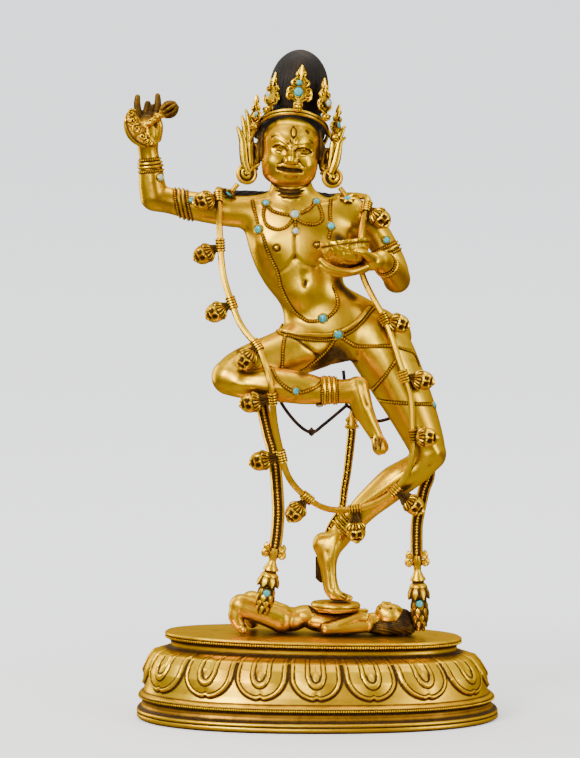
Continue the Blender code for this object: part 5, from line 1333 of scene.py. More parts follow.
def stone(node):
    """A low polished dome in its setting."""
    base, normal, radius = stone_place(node)
    turn = Matrix.Translation(base) @ normal.to_track_quat("Z", "Y").to_matrix().to_4x4()
    trim = Trim(node.replace("stone_", "cabochon_"))
    rows = [(radius * math.cos(a) ** 0.8 if a < 1.5 else 0.02 * radius, radius * 0.62 * math.sin(a), 0.0)
            for a in (math.pi / 2 * k / 8 for k in range(9))]
    turned(trim, [(radius * 0.9, -0.3 * MM, 0.0)] + rows, turn, 24)
    return trim.done(60)


def setting(trim, node):
    """The raised rim round a set stone."""
    base, normal, radius = stone_place(node)
    turn = Matrix.Translation(base) @ normal.to_track_quat("Z", "Y").to_matrix().to_4x4()
    rim = [(radius * 1.0, -0.5 * MM, 1.1), (radius * 1.36, -0.5 * MM, 1.1), (radius * 1.32, 0.1 * MM, 0.7),
           (radius * 1.18, 0.42 * MM, 0.2), (radius * 1.05, 0.3 * MM, 0.9), (radius * 0.98, 0.0, 1.2)]
    turned(trim, rim, turn, 24)


# Masses of the lying figure on the plate: centre x, y, z and radii
BODY_CORPSE = [(-18, -1, 8, 13, 12.5, 7.5), (-7, -1, 10.6, 11, 10, 6.2), (4, -1, 7.6, 14, 12, 7),
               (18, -1, 7.6, 15, 13.5, 7.2), (33, -1, 7.6, 7, 5.5, 5.5), (43.6, -1, 11.4, 9.0, 8.0, 7.4),
               (39.8, -1, 13.6, 5.4, 6.2, 5.4)]


def corpse():
    """The lying figure under the disc: knees drawn up, arms folded, face turned up."""
    clay = Clay()
    for side in (-1, 1):
        hip = (-22, 7 * side - 1, 8.5)
        knee = (-43 + 3 * side, 9 * side - 1, 16.5)
        foot = (-42.5 + 3 * side, 12 * side - 1, 3.6)
        runs = [[(*hip, 8.0), (-32, 8 * side - 1, 12.5, 7.6), (*knee, 7.2)],
                [(*knee, 6.8), (-46 + 3 * side, 11 * side - 1, 10, 4.6), (*foot, 3.2)],
                [(*foot, 3.0), (-41 + 3 * side, 15 * side - 1, 2.9, 2.3)],
                [(29, 9 * side - 1, 6.4, 4.4), (16, 12 * side - 1, 5.0, 3.8), (5, 13 * side - 1, 4.4, 3.6)],
                [(5, 13 * side - 1, 4.4, 3.4), (15, 12.5 * side - 1, 8.2, 3.0),
                 (25, 11.5 * side - 1, 11.8, 2.2), (29, 11 * side - 1, 12.6, 1.7)]]
        for run in runs:
            clay.rod([on_plate(p[0], p[1], p[2] + 0.3) for p in run], [p[3] * MM for p in run], step=1.2 * MM)
        for k in range(4):
            clay.rod([on_plate(25, (10.2 + 0.9 * k) * side - 1, 12.9 - 0.5 * k),
                      on_plate(30.5 - 0.6 * k, (10.0 + 1.1 * k) * side - 1, 13.2 - 0.9 * k)],
                     [0.95 * MM, 0.7 * MM], step=0.7 * MM, sides=10)
    for x, y, z, rx, ry, rz in BODY_CORPSE:
        clay.ball(on_plate(x, y, z + 0.3), (rx * MM, ry * MM, rz * MM))
    skin = Skin(clay.fused("lying_figure", 0.55 * MM, 4, 90000))
    disc = on_plate(10.5, -2, 0)
    level = np.clip(skin.co[:, 2] - (disc.z + 13.6 * MM), 0, None)
    over = np.hypot(skin.co[:, 0] - disc.x, skin.co[:, 1] - disc.y) < 15.6 * MM
    skin.co[:, 2] -= level * over
    low = on_plate(0, 0, 0.3).z - (skin.co[:, 0]) * math.tan(PLATE_LEAN)
    skin.co[:, 2] = np.maximum(skin.co[:, 2], low)
    skin.refresh()
    features = [((43.6, -6.4, 16.6), 1.5, -0.7, 1.0), ((42.6, 3.6, 18.2), 1.5, -0.7, 1.0),
                ((37.0, -4.6, 16.2), 1.5, -0.8, 1.0), ((36.4, -2.4, 17.2), 1.5, -0.8, 1.0),
                ((46.4, -6.0, 16.4), 1.2, 0.6, 0.6)]
    for spot, reach, rise, grime_and_shade in features:
        near = skin.tree.find_nearest(on_plate(*spot))[0]
        skin.swell([near], reach, rise, grime_and_shade)
    nose = [skin.tree.find_nearest(on_plate(x, -2, 19))[0] for x in (43, 41, 39)]
    skin.swell(nose, 1.6, 1.4)
    # Darkening along the lower front edge, where the figure meets the plate.
    for x, y, reach, amount in ((4, -16, 9, 0.9), (15, -15, 9, 0.9), (26, -14, 8, 0.7), (33, -6, 7, 0.8),
                                (-36, -14, 7, 0.8), (-30, -14, 6, 0.7)):
        near = skin.tree.find_nearest(on_plate(x, y * 0.7, 2))[0]
        skin.stain_and_shade([near], reach, amount)
    # Lifts the painted shade and the grime all over the lying figure, so it reads brighter.
    skin.grime_and_shade -= 0.18
    return skin


def corpse_hair():
    """The lying figure's hair, spread on the plate and combed outward."""
    clay = Clay()
    for x, y, z, rx, ry, rz in ((50.4, 0, 8.0, 7.8, 9.4, 7.6), (44.5, -2, 5.2, 13.4, 9.0, 5.4),
                                (36.5, -2, 3.6, 8.0, 7.0, 3.6), (54, -1, 5.0, 5.4, 7.0, 5.0)):
        clay.ball(on_plate(x, y, z + 0.3), (rx * MM, ry * MM, rz * MM))
    skin = Skin(clay.fused("lying_figure_hair", 0.6 * MM, 4, 40000))
    low = on_plate(0, 0, 0.3).z - skin.co[:, 0] * math.tan(PLATE_LEAN)
    skin.co[:, 2] = np.maximum(skin.co[:, 2], low)
    comb = np.sin(skin.co[:, 2] / MM * 4.2 + 0.9 * skin.co[:, 0] / MM + 1.6 * skin.co[:, 1] / MM)
    skin.co += skin.normal * (comb * 0.26 * MM)[:, None]
    skin.grime_and_shade += np.clip(-comb, 0, 1) * 0.9
    return skin


def sun_disc():
    """The thin round seat under the standing foot."""
    trim = Trim("round_seat")
    low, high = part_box("sun_disc")
    middle = (low + high) / 2
    lean = Matrix.Translation(middle) @ Matrix.Rotation(PLATE_LEAN, 4, "Y")
    rows = [(0.2, 2.8, 0), (8, 2.8, 0), (12.2, 2.75, 0), (12.7, 2.45, 0.7), (13.1, 2.6, 0.1), (14.2, 2.3, 0),
            (15.0, 1.2, 0), (14.95, 0.4, 0.1), (14.5, 0.0, 0.75), (14.9, -0.5, 0.1), (14.6, -1.4, 0.1),
            (13.2, -2.7, 0.3), (0.2, -2.8, 0.5)]
    turned(trim, [(r * MM, z * MM, d) for r, z, d in reversed(rows)], lean, 96)
    return trim


BASE_SIZE = (0.217, 0.132)
RIM_SIZE = (0.1785, 0.084)
RIM_SHIFT = -0.0025
PETALS = 16
PETAL_PITCH = 31.5
PETAL_TIP = 18.6
PETAL_BAND = (17.0, 40.4)
OUTLINE_POWER = 2.3
# The base's outline up its height: height, share of the way from foot to rim, offset outward, grime
BASE_ROWS = [(0, 0, -1.9, 0.9), (0.5, 0, -0.8, 0.7), (1.1, 0, -0.1, 0.3), (2.2, 0, 0.0, 0),
             (3.0, 0, -0.2, 0.1),
             (3.5, 0, -0.75, 0.95), (4.0, 0, -0.2, 0.1), (4.8, 0, 0, 0), (5.4, 0, -0.5, 0.2),
             (5.9, 0, -1.2, 0.8),
             (6.6, 0, -2.3, 0.5), (8.8, 0.02, -3.2, 0.1), (10.6, 0.05, -2.6, 0.3), (11.3, 0.05, -1.9, 0.9),
             (12.1, 0.06, -1.2, 0.9), (13.0, 0.06, -0.9, 0.9), (13.8, 0.07, -0.7, 0.5),
             (14.4, 0.09, -1.1, 0.2),
             (15.6, 0.12, -2.4, 0.1), (19, 0.19, -2.2, 0), (23, 0.26, -1.8, 0), (28, 0.36, -1.3, 0),
             (34, 0.54, -0.9, 0), (38, 0.72, -0.7, 0.0), (40.2, 0.97, -2.6, 0.35), (41.2, 1.0, -3.2, 0.0),
             (43.6, 1.0, -3.3, 0.1), (44.6, 1.0, -3.0, 0.7), (45.2, 1.0, -1.6, 0.95), (45.8, 1.0, -0.9, 0.95),
             (47.2, 1.0, -0.7, 0.9), (47.7, 1.0, -0.2, 0.3), (48.5, 1.0, 0.0, 0.1), (49.2, 1.0, -1.2, 0)]


def superellipse(half_width, half_depth, angle):
    c, s = math.cos(angle), math.sin(angle)
    power = 2.0 / OUTLINE_POWER
    return (half_width * math.copysign(abs(c) ** power, c), half_depth * math.copysign(abs(s) ** power, s))


def outline_angles(count):
    """Outline angles at even steps of length, starting at the middle of the front."""
    steps = 5760
    angles = [-math.pi / 2 + 2 * math.pi * k / steps for k in range(steps + 1)]
    spots = [superellipse(BASE_SIZE[0] + RIM_SIZE[0], BASE_SIZE[1] + RIM_SIZE[1], a) for a in angles]
    lengths = np.concatenate(([0.0], np.cumsum([math.dist(a, b) for a, b in zip(spots, spots[1:])])))
    return np.interp(np.arange(count) / count * lengths[-1], lengths, angles)


def petal_relief(u, v):
    """Height and grime of a lotus petal at u across and v up from its tip, in millimetres."""
    notch = 1.0 * math.exp(-(u / 1.2) ** 2) if v < 5 else 0.0
    edge = math.hypot(u / 14.2, min(v - 13.2 - notch, 0) / 13.2)
    rise = 0.0
    dark = 0.0
    if edge < 1.14:
        rise += 1.4 * min(1.0, max(0.0, (1.07 - edge) / 0.1))
        dark = max(dark, (0.9 if v < 15 else 0.5) * max(0.0, 1 - abs(edge - 1.07) / 0.065))
        rise += 0.6 * max(0.0, 1 - ((edge - 0.95) / 0.065) ** 2)
        dark = max(dark, 0.62 * max(0.0, 1 - abs(edge - 0.865) / 0.05))
        if edge < 0.87:
            rise += 1.3 * (1 - (edge / 0.87) ** 2)
    bud = math.hypot(u / 4.6, min(v - 15.0, 0) / 7.2)
    if bud < 1.5:
        rise += 0.9 * max(0.0, 1 - ((bud - 1.0) / 0.24) ** 2)
        rise -= 1.1 * max(0.0, 1 - bud / 0.9)
        dark = max(dark, 0.8 * max(0.0, 1 - abs(bud - 1.27) / 0.13))
        dark = max(dark, 0.75 * max(0.0, 1 - abs(bud - 0.7) / 0.14))
        core = math.hypot(u / 1.7, (v - 12.0) / 3.2)
        rise += 0.7 * max(0.0, 1 - core * core)
    return rise, dark


def base_point(angle, height, share, out):
    half_width = (BASE_SIZE[0] + (RIM_SIZE[0] - BASE_SIZE[0]) * share) / 2 + out
    half_depth = (BASE_SIZE[1] + (RIM_SIZE[1] - BASE_SIZE[1]) * share) / 2 + out
    x, y = superellipse(half_width, half_depth, angle)
    up = height / BASE_TOP
    x += RIM_SHIFT * up
    return Vector((x, y, height - math.tan(PLATE_LEAN) * x * up))


def lotus_base():
    """The oval base with its rims and one row of petals, closed by the leaning top plate."""
    columns = PETALS * 48
    angles = outline_angles(columns)
    profile = np.array(BASE_ROWS)
    slope = [(height, 8 * share + out) for height, share, out, _ in BASE_ROWS]
    length = np.concatenate(([0.0], np.cumsum([math.dist(a, b) for a, b in zip(slope, slope[1:])])))
    steps = np.linspace(0, length[-1], 112)
    rows = [np.interp(steps, length, profile[:, k]) for k in range(4)]
    across = [((k / columns * PETALS + 0.5) % 1.0) - 0.5 for k in range(columns)]
    points, dark = [], []
    for height, share, out, stain_and_shade in zip(*rows):
        for angle, side in zip(angles, across):
            rise, shade = 0.0, stain_and_shade
            if PETAL_BAND[0] < height < PETAL_BAND[1]:
                r, d = petal_relief(side * PETAL_PITCH, height - PETAL_TIP)
                fade = min(1.0, (PETAL_BAND[1] - height) / 1.4)
                rise, shade = r * fade, max(stain_and_shade, d)
            points.append(base_point(angle, height * MM, share, (out + rise) * MM))
            dark.append(shade)
    rim = points[-columns:]
    middle = Vector((RIM_SHIFT, 0, BASE_TOP - math.tan(PLATE_LEAN) * RIM_SHIFT))
    for shrink in (0.985, 0.96, 0.9, 0.8, 0.6, 0.35, 0.1):
        for p in rim:
            spot = middle.lerp(p, shrink)
            points.append(Vector((spot.x, spot.y, BASE_TOP - math.tan(PLATE_LEAN) * spot.x)))
            dark.append(0.15 if shrink > 0.97 else 0.0)
    total = len(points) // columns
    faces = []
    for row in range(total - 1):
        for k in range(columns):
            j = (k + 1) % columns
            low, high = row * columns, (row + 1) * columns
            faces.append((low + k, low + j, high + j, high + k))
    faces.append(tuple(reversed(range(columns))))
    faces.append(tuple((total - 1) * columns + k for k in range(columns)))
    mesh = bpy.data.meshes.new("lotus_pedestal")
    mesh.from_pydata([tuple(p) for p in points], [], faces)
    mesh.update()
    thing = new_thing("lotus_pedestal", mesh)
    smooth(thing)
    skin = Skin(thing)
    level = skin.co[:, 2] / MM
    # A little darker on the foot band below the lower beading and on the top plate.
    skin.grime_and_shade = np.array(dark) + 0.08 * (level < 12.4) + 0.07 * (level > 48.0)
    skin.hollow_gain = 3.0
    return skin


def base_beads():
    """The two rows of beading, above the foot and under the plate."""
    trim = Trim("pedestal_beading")
    for height, share, out, count, radius in ((12.6, 0.06, -0.75, 400, 0.62), (46.5, 1.0, -0.55, 300, 0.72)):
        places = [base_point(a, height * MM, share, out * MM) for a in outline_angles(count)]
        trim.beads(places, radius, -0.2, 6, 4)
    return trim


def skull_cup():
    """A thin bowl with a rolled lip, tilted a little in the hand."""
    trim = Trim("skull_bowl")
    tilt = Matrix.Translation(place(15.3, -40, 213.4)) @ Matrix.Rotation(math.radians(-7), 4, "Y")
    radius, depth = 14.3, 15.2
    rows = []
    for k in range(15):
        angle = math.pi / 2 * k / 15
        rows.append((radius * math.cos(angle) ** 0.8, -depth * math.sin(angle), 0.0))
    rows.append((0.2, -depth, 0.0))
    wall = 1.4
    inner = [((radius - wall) * math.cos(angle) ** 0.8, -(depth - wall) * math.sin(angle), 0.9)
             for angle in (math.pi / 2 * k / 12 for k in range(12))]
    inner.append((0.2, -(depth - wall), 0.9))
    lip = [(radius - 1.5, 0.25, 0.3), (radius - 0.7, 0.55, 0.0), (radius + 0.1, 0.4, 0.0),
           (radius + 0.3, -0.5, 0.0), (radius + 0.1, -1.3, 0.2), (radius - 0.35, -1.8, 0.7)]
    whole = list(reversed(inner)) + lip + rows[2:]
    turned(trim, [(r * MM, z * MM, d) for r, z, d in reversed(whole)], tilt, 72)
    return trim


def chopper():
    """A curved knife: crescent blade, short grip and a thunderbolt end."""
    along = Vector((0.83, 0, 0.56)).normalized()
    across = Vector((-0.56, 0, 0.83)).normalized()
    turn = Matrix((along, along.cross(across) * -1, across)).transposed().to_4x4()
    matrix = Matrix.Translation(seen(-104.0, 284.0, -20.5)) @ turn
    trim = Trim("curved_knife")
    half, sagitta, thick = 13.5, 11.5, 1.1
    radius = (half * half + sagitta * sagitta) / (2 * sagitta)
    span = math.asin(min(1.0, half / radius))
    edge = []
    for k in range(33):
        angle = -span + 2 * span * k / 32
        edge.append((-(radius * math.cos(angle) - (radius - sagitta)), radius * math.sin(angle)))
    rows = []
    for deep, shade in ((0.0, 0.1), (0.12, 0.15), (0.2, 0.7), (0.32, 0.35), (0.6, 0.4), (0.9, 0.5), (1.0, 0.2)):
        row = []
        for k, (x, z) in enumerate(edge):
            inner_z = z * 0.93
            inner_x = 0.66 * (1 - abs(inner_z) / half)
            row.append((x + (inner_x - x) * deep, z + (inner_z - z) * deep))
        rows.append((row, shade))
    raised = [0.25, 1.0, 0.7, 0.85, 0.95, 0.9, 0.6]
    points, faces, dark = [], [], []
    for face in (-1, 1):
        for (row, shade), lift in zip(rows, raised):
            for x, z in row:
                points.append((x * MM, face * thick * lift * MM, z * MM))
                dark.append(shade)
    count, levels = len(edge), len(rows)
    for face in range(2):
        for level in range(levels - 1):
            for k in range(count - 1):
                a = (face * levels + level) * count + k
                quad = (a, a + 1, a + count + 1, a + count)
                faces.append(quad if face else tuple(reversed(quad)))
    for a, b, flip in ((0, levels * count, False), ((levels - 1) * count, (2 * levels - 1) * count, True)):
        for k in range(count - 1):
            quad = (a + k, a + k + 1, b + k + 1, b + k)
            faces.append(tuple(reversed(quad)) if flip else quad)
    for k in (0, count - 1):
        ring = [level * count + k for level in range(levels)]
        ring += [(levels + level) * count + k for level in reversed(range(levels))]
        faces.append(tuple(ring) if k else tuple(reversed(ring)))
    spin = np.array(matrix.to_3x3())
    trim.add(np.array(points) @ spin.T + np.array(matrix.translation), faces, np.array(dark))
    upright = matrix @ Matrix.Rotation(math.radians(90), 4, "Y")
    grip = [(0.2, -0.5, 0), (1.9, 0.2, 0), (1.9, 8.2, 0), (2.4, 8.8, 0.2), (3.1, 9.8, 0), (2.6, 10.6, 0.3),
            (1.9, 11.4, 0.2), (2.2, 12.4, 0.2), (3.0, 13.2, 0.1), (3.4, 14.2, 0.5), (1.6, 14.8, 0.9),
            (1.4, 20.5, 0.9), (2.6, 21.2, 0.4), (1.4, 22.4, 0.1), (1.0, 23.4, 0.1), (0.2, 23.6, 0)]
    turned(trim, [(r * MM, z * MM, d) for r, z, d in grip], upright, 28)
    prong = [(2.4, 14.0), (3.7, 16.0), (4.2, 18.4), (3.3, 20.8), (1.2, 23.0)]
    for k in range(8):
        c, s = math.cos(2 * math.pi * k / 8), math.sin(2 * math.pi * k / 8)
        path = [upright @ Vector((r * c * MM, r * s * MM, z * MM)) for r, z in prong]
        trim.rod(path, 1.15, sides=10, dark=0.55)
    curl(trim, matrix, (-1.6 * MM, -1.4 * MM, 10.4 * MM), 2.4 * MM, 1.3, 0.7, 0.0, 1)
    curl(trim, matrix, (-2.2 * MM, -1.4 * MM, -9.4 * MM), 2.2 * MM, 1.2, 0.7, 0.0, -1)
    for x, z, radius, side in ((-4.2, 1.2, 2.9, 1), (-3.4, 6.2, 2.3, -1), (-3.8, -4.6, 2.5, -1)):
        curl(trim, matrix, (x * MM, -1.3 * MM, z * MM), radius * MM, 1.3, 0.65, 0.6, side, -0.2)
    stem = [matrix @ Vector((x * MM, -1.5 * MM, z * MM))
            for x, z in ((1.6, -1.0), (-0.2, -5.2), (-0.4, -9.2), (0.2, -12.6))]
    trim.rod(stem, 1.1, sides=10, dark=-0.2, widths=[0.4, 1.2, 1.0, 0.4])
    return trim


# The thin cord behind the legs as three runs of x, height and depth
SWAG_CORDS = [
    [(-25, 129, 3), (-21.5, 118.2, 8), (-12.3, 106.2, 12), (-3.6, 100.8, 14), (3.9, 105.6, 14),
     (17.5, 117, 12)],
    [(17.5, 117, 12), (26, 111.5, 12), (36, 107.6, 11), (47, 110.5, 14)],
    [(17.5, 116, 12), (16.5, 128, 11), (15.5, 138, 11)],
]


def back_swag():
    """The thin dark cord hanging behind the legs, with its knot."""
    trim = Trim("hanging_cord")
    for cord in SWAG_CORDS:
        points = []
        for spot in cord:
            flat = place(spot[0], 0, spot[1])
            deep = node_depth("back_swag", seen(*spot), 3 * MM)
            points.append(flat + (flat - EYE) * ((deep - flat.y) / (flat.y - EYE.y)))
        trim.rod(points, 1.05, sides=12, dark=0.6, step=1 * MM)
    low = Matrix.Translation(seen(-3.6, 100.8, node_depth("back_swag", seen(-3.6, 100.8, 14), 3 * MM) / MM))
    turned(trim, [(0.2 * MM, 3.2 * MM, 0.5), (1.9 * MM, 1.4 * MM, 0.3), (1.2 * MM, 0.2 * MM, 0.8),
                  (1.8 * MM, -1.2 * MM, 0.4), (0.2 * MM, -2.4 * MM, 0.5)], low, 16)
    return trim


# Locks of hair over the shoulders as runs of x, y, height and thickness
LOCKS = [[(-24, 7, 243.6, 2.6), (-32, 5, 242.6, 2.8), (-42, 3, 243.0, 3.0), (-55, 2, 243.6, 2.8)],
         [(-7, 8, 243.6, 2.6), (4, 4, 241.8, 2.8), (14, 2, 239.6, 3.0), (20, 1, 237.4, 2.6)]]


def shoulder_locks():
    """Dark twisted locks of hair lying over both shoulders."""
    trim = Trim("shoulder_locks")
    for run in LOCKS:
        for strand in range(5):
            path = []
            for k in range(25):
                t = k / 24 * (len(run) - 1)
                i = min(len(run) - 2, int(t))
                a, b = run[i], run[i + 1]
                x, y, z, r = [p + (q - p) * (t - i) for p, q in zip(a, b)]
                turn = strand * 2 * math.pi / 5 + t * 2.6
                path.append(place(x + 0.25 * r * math.cos(turn), y - 0.1 * r + 0.5 * r * math.cos(turn),
                                  z + 0.5 * r * math.sin(turn)))
            trim.rod(path, 1.75, sides=10, dark=0.3, step=1.2 * MM, widths=[1.1, 1.0, 0.7])
    return trim


def mixed(tree, kind, factor, a, b):
    """A colour or value mix between two sockets or constants."""
    node = tree.nodes.new("ShaderNodeMix")
    node.data_type = kind
    slots = {"FLOAT": (2, 3, 0), "RGBA": (6, 7, 2)}[kind]
    for index, value in ((0, factor), (slots[0], a), (slots[1], b)):
        if isinstance(value, bpy.types.NodeSocket):
            tree.links.new(value, node.inputs[index])
        else:
            node.inputs[index].default_value = value
    return node.outputs[slots[2]]


def computed(tree, operation, *values, clamp=False):
    node = tree.nodes.new("ShaderNodeMath")
    node.operation = operation
    node.use_clamp = clamp
    for index, value in enumerate(values):
        if isinstance(value, bpy.types.NodeSocket):
            tree.links.new(value, node.inputs[index])
        else:
            node.inputs[index].default_value = value
    return node.outputs[0]


def noise(tree, where, scale, detail=4.0, roughness=0.55, distortion=0.0):
    node = tree.nodes.new("ShaderNodeTexNoise")
    node.inputs["Scale"].default_value = scale
    node.inputs["Detail"].default_value = detail
    node.inputs["Roughness"].default_value = roughness
    node.inputs["Distortion"].default_value = distortion
    tree.links.new(where, node.inputs["Vector"])
    return node.outputs["Fac"]


def ramped(tree, value, low, high):
    node = tree.nodes.new("ShaderNodeMapRange")
    node.interpolation_type = "SMOOTHSTEP"
    tree.links.new(value, node.inputs["Value"])
    node.inputs["From Min"].default_value = low
    node.inputs["From Max"].default_value = high
    return node.outputs["Result"]


def attribute(tree, name):
    node = tree.nodes.new("ShaderNodeAttribute")
    node.attribute_name = name
    return node.outputs["Fac"]


def new_group(name, inputs, outputs):
    group = bpy.data.node_groups.new(name, "ShaderNodeTree")
    for label, kind in inputs:
        group.interface.new_socket(name=label, in_out="INPUT", socket_type=kind)
    for label, kind in outputs:
        group.interface.new_socket(name=label, in_out="OUTPUT", socket_type=kind)
    return group, group.nodes.new("NodeGroupInput"), group.nodes.new("NodeGroupOutput")


def gilt_group():
    """Fire gilding over copper: brighter and redder passages, brown grime in the hollows, painted shade in
    wider recesses, and small pits.
    """
    tree, given, out = new_group("gilt_surface", [("Age", "NodeSocketFloat")],
                                 [("Color", "NodeSocketColor"), ("Roughness", "NodeSocketFloat"),
                                  ("Metallic", "NodeSocketFloat"), ("Height", "NodeSocketFloat")])
    where = tree.nodes.new("ShaderNodeTexCoord").outputs["Object"]
    broad = noise(tree, where, 38, 5, 0.6, 0.4)
    patch = noise(tree, where, 120, 4, 0.65, 0.6)
    fine = noise(tree, where, 620, 3, 0.6)
    speck = noise(tree, where, 1500, 2, 0.5)
    colour = mixed(tree, "RGBA", ramped(tree, broad, 0.38, 0.66), (0.95, 0.60, 0.004, 1),
                   (0.86, 0.47, 0.004, 1))
    smudge = noise(tree, where, 64, 6, 0.7, 0.9)
    colour = mixed(tree, "RGBA", computed(tree, "MULTIPLY", ramped(tree, smudge, 0.50, 0.72), 0.62), colour,
                   (0.50, 0.25, 0.006, 1))
    colour = mixed(tree, "RGBA", computed(tree, "MULTIPLY", ramped(tree, patch, 0.56, 0.78), 0.5), colour,
                   (0.60, 0.28, 0.006, 1))
    shade = tree.nodes.new("ShaderNodeAmbientOcclusion")
    shade.samples = 6
    shade.inputs["Distance"].default_value = 0.003
    hollow = ramped(tree, computed(tree, "SUBTRACT", 1.0, shade.outputs["AO"]), 0.42, 0.92)
    # Painted shade: a far-reaching occlusion test darkens wide recesses, as under the chin and arms and between
    # parts, towards dark brown.
    near = tree.nodes.new("ShaderNodeAmbientOcclusion")
    near.samples = 6
    near.inputs["Distance"].default_value = 0.028
    wide_painted_shade = ramped(tree, computed(tree, "SUBTRACT", 1.0, near.outputs["AO"]), 0.35, 0.86)
    # The grime attribute also carries painted shade; its negative values lift part of the painted shade and of
    # the grime, as on bright beads and on the lying figure.
    dust_and_shade = attribute(tree, "grime_and_shade")
    lifted_shade_and_grime = computed(tree, "MINIMUM", dust_and_shade, 0.0)
    wide_painted_shade = computed(tree, "MULTIPLY", wide_painted_shade, computed(tree, "MULTIPLY_ADD", lifted_shade_and_grime, 1.1, 0.92, clamp=True))
    colour = mixed(tree, "RGBA", wide_painted_shade, colour, (0.075, 0.043, 0.010, 1))
    mask = computed(tree, "MAXIMUM", dust_and_shade, computed(tree, "MULTIPLY", hollow, 0.85))
    mask = computed(tree, "ADD", mask, lifted_shade_and_grime)
    mask = computed(tree, "ADD", mask, given.outputs["Age"])
    mask = computed(tree, "MULTIPLY", mask, computed(tree, "MULTIPLY_ADD", patch, 0.7, 0.62))
    mask = computed(tree, "ADD", mask, computed(tree, "MULTIPLY", ramped(tree, fine, 0.66, 0.8), 0.2))
    grime_and_shade = ramped(tree, mask, 0.28, 0.72)
    dirt = mixed(tree, "RGBA", ramped(tree, fine, 0.35, 0.7), (0.022, 0.010, 0.004, 1),
                 (0.068, 0.030, 0.009, 1))
    stain_and_shade = mixed(tree, "RGBA", ramped(tree, mask, 0.14, 0.46), colour, (0.42, 0.19, 0.012, 1))
    colour = mixed(tree, "RGBA", grime_and_shade, stain_and_shade, dirt)
    colour = mixed(tree, "RGBA", computed(tree, "MULTIPLY", ramped(tree, speck, 0.70, 0.78), 0.7), colour,
                   (0.09, 0.036, 0.010, 1))
    rough = mixed(tree, "FLOAT", grime_and_shade, computed(tree, "MULTIPLY_ADD", broad, 0.26, 0.20), 0.60)
    height = computed(tree, "MULTIPLY_ADD", fine, 0.5, computed(tree, "MULTIPLY", speck, 0.25))
    height = computed(tree, "SUBTRACT", height, computed(tree, "MULTIPLY", grime_and_shade, 0.3))
    for name, value in (("Color", colour), ("Roughness", rough),
                        ("Metallic", computed(tree, "MULTIPLY_ADD", grime_and_shade, -0.55, 1.0)), ("Height", height)):
        tree.links.new(value, out.inputs[name])
    return tree


GILT_GROUP = gilt_group()


def new_material(name):
    finish = bpy.data.materials.new(name)
    finish.use_nodes = True
    return finish, finish.node_tree, finish.node_tree.nodes["Principled BSDF"]


def bumped(tree, shader, height, distance):
    bump = tree.nodes.new("ShaderNodeBump")
    bump.inputs["Distance"].default_value = distance
    bump.inputs["Strength"].default_value = 0.55
    tree.links.new(height, bump.inputs["Height"])
    tree.links.new(bump.outputs["Normal"], shader.inputs["Normal"])


def gilt(name, age=0.0, relief=0.00012):
    finish, tree, shader = new_material(name)
    surface = tree.nodes.new("ShaderNodeGroup")
    surface.node_tree = GILT_GROUP
    surface.inputs["Age"].default_value = age
    tree.links.new(surface.outputs["Color"], shader.inputs["Base Color"])
    tree.links.new(surface.outputs["Roughness"], shader.inputs["Roughness"])
    tree.links.new(surface.outputs["Metallic"], shader.inputs["Metallic"])
    shader.inputs["Specular Tint"].default_value = (1.0, 0.74, 0.18, 1)
    bumped(tree, shader, surface.outputs["Height"], relief)
    return finish


def mottled_gilt(name):
    """Gilding over a hammered, swirled relief."""
    finish = gilt(name, 0.02)
    tree = finish.node_tree
    shader = tree.nodes["Principled BSDF"]
    where = tree.nodes.new("ShaderNodeTexCoord").outputs["Object"]
    swirl = noise(tree, where, 130, 2, 0.45, 1.8)
    old = shader.inputs["Normal"].links[0].from_node
    bump = tree.nodes.new("ShaderNodeBump")
    bump.inputs["Distance"].default_value = 0.0008
    bump.inputs["Strength"].default_value = 0.8
    tree.links.new(ramped(tree, swirl, 0.36, 0.62), bump.inputs["Height"])
    tree.links.new(bump.outputs["Normal"], old.inputs["Normal"])
    return finish


def dark_hair(name, low, high, metal):
    """Darkened hair between two tones, blacker in the combed grooves."""
    finish, tree, shader = new_material(name)
    where = tree.nodes.new("ShaderNodeTexCoord").outputs["Object"]
    patch = noise(tree, where, 70, 5, 0.65, 0.5)
    fine = noise(tree, where, 700, 3, 0.6)
    colour = mixed(tree, "RGBA", ramped(tree, patch, 0.42, 0.72), low, high)
    colour = mixed(tree, "RGBA", computed(tree, "MULTIPLY", attribute(tree, "grime_and_shade"), 0.8), colour,
                   (0.010, 0.008, 0.007, 1))
    tree.links.new(colour, shader.inputs["Base Color"])
    tree.links.new(computed(tree, "MULTIPLY_ADD", fine, 0.25, 0.46), shader.inputs["Roughness"])
    shader.inputs["Metallic"].default_value = metal
    shader.inputs["Specular IOR Level"].default_value = 0.24
    bumped(tree, shader, fine, 0.0001)
    return finish


def dark_bronze():
    finish, tree, shader = new_material("dark_cord")
    where = tree.nodes.new("ShaderNodeTexCoord").outputs["Object"]
    patch = noise(tree, where, 260, 4, 0.6)
    colour = mixed(tree, "RGBA", ramped(tree, patch, 0.45, 0.75), (0.022, 0.013, 0.010, 1),
                   (0.13, 0.060, 0.025, 1))
    tree.links.new(colour, shader.inputs["Base Color"])
    tree.links.new(computed(tree, "MULTIPLY_ADD", patch, 0.3, 0.3), shader.inputs["Roughness"])
    shader.inputs["Metallic"].default_value = 0.7
    bumped(tree, shader, patch, 0.0001)
    return finish


def stone_finish(name, light, deep, fleck):
    finish, tree, shader = new_material(name)
    where = tree.nodes.new("ShaderNodeTexCoord").outputs["Object"]
    cloud = noise(tree, where, 420, 4, 0.6, 0.8)
    spot = noise(tree, where, 1300, 3, 0.6)
    colour = mixed(tree, "RGBA", ramped(tree, cloud, 0.42, 0.66), light, deep)
    flecks = computed(tree, "MULTIPLY", ramped(tree, spot, 0.62, 0.74), 0.7)
    colour = mixed(tree, "RGBA", flecks, colour, fleck)
    tree.links.new(colour, shader.inputs["Base Color"])
    tree.links.new(computed(tree, "MULTIPLY_ADD", spot, 0.3, 0.12), shader.inputs["Roughness"])
    shader.inputs["Coat Weight"].default_value = 0.35
    bumped(tree, shader, cloud, 0.0002)
    return finish


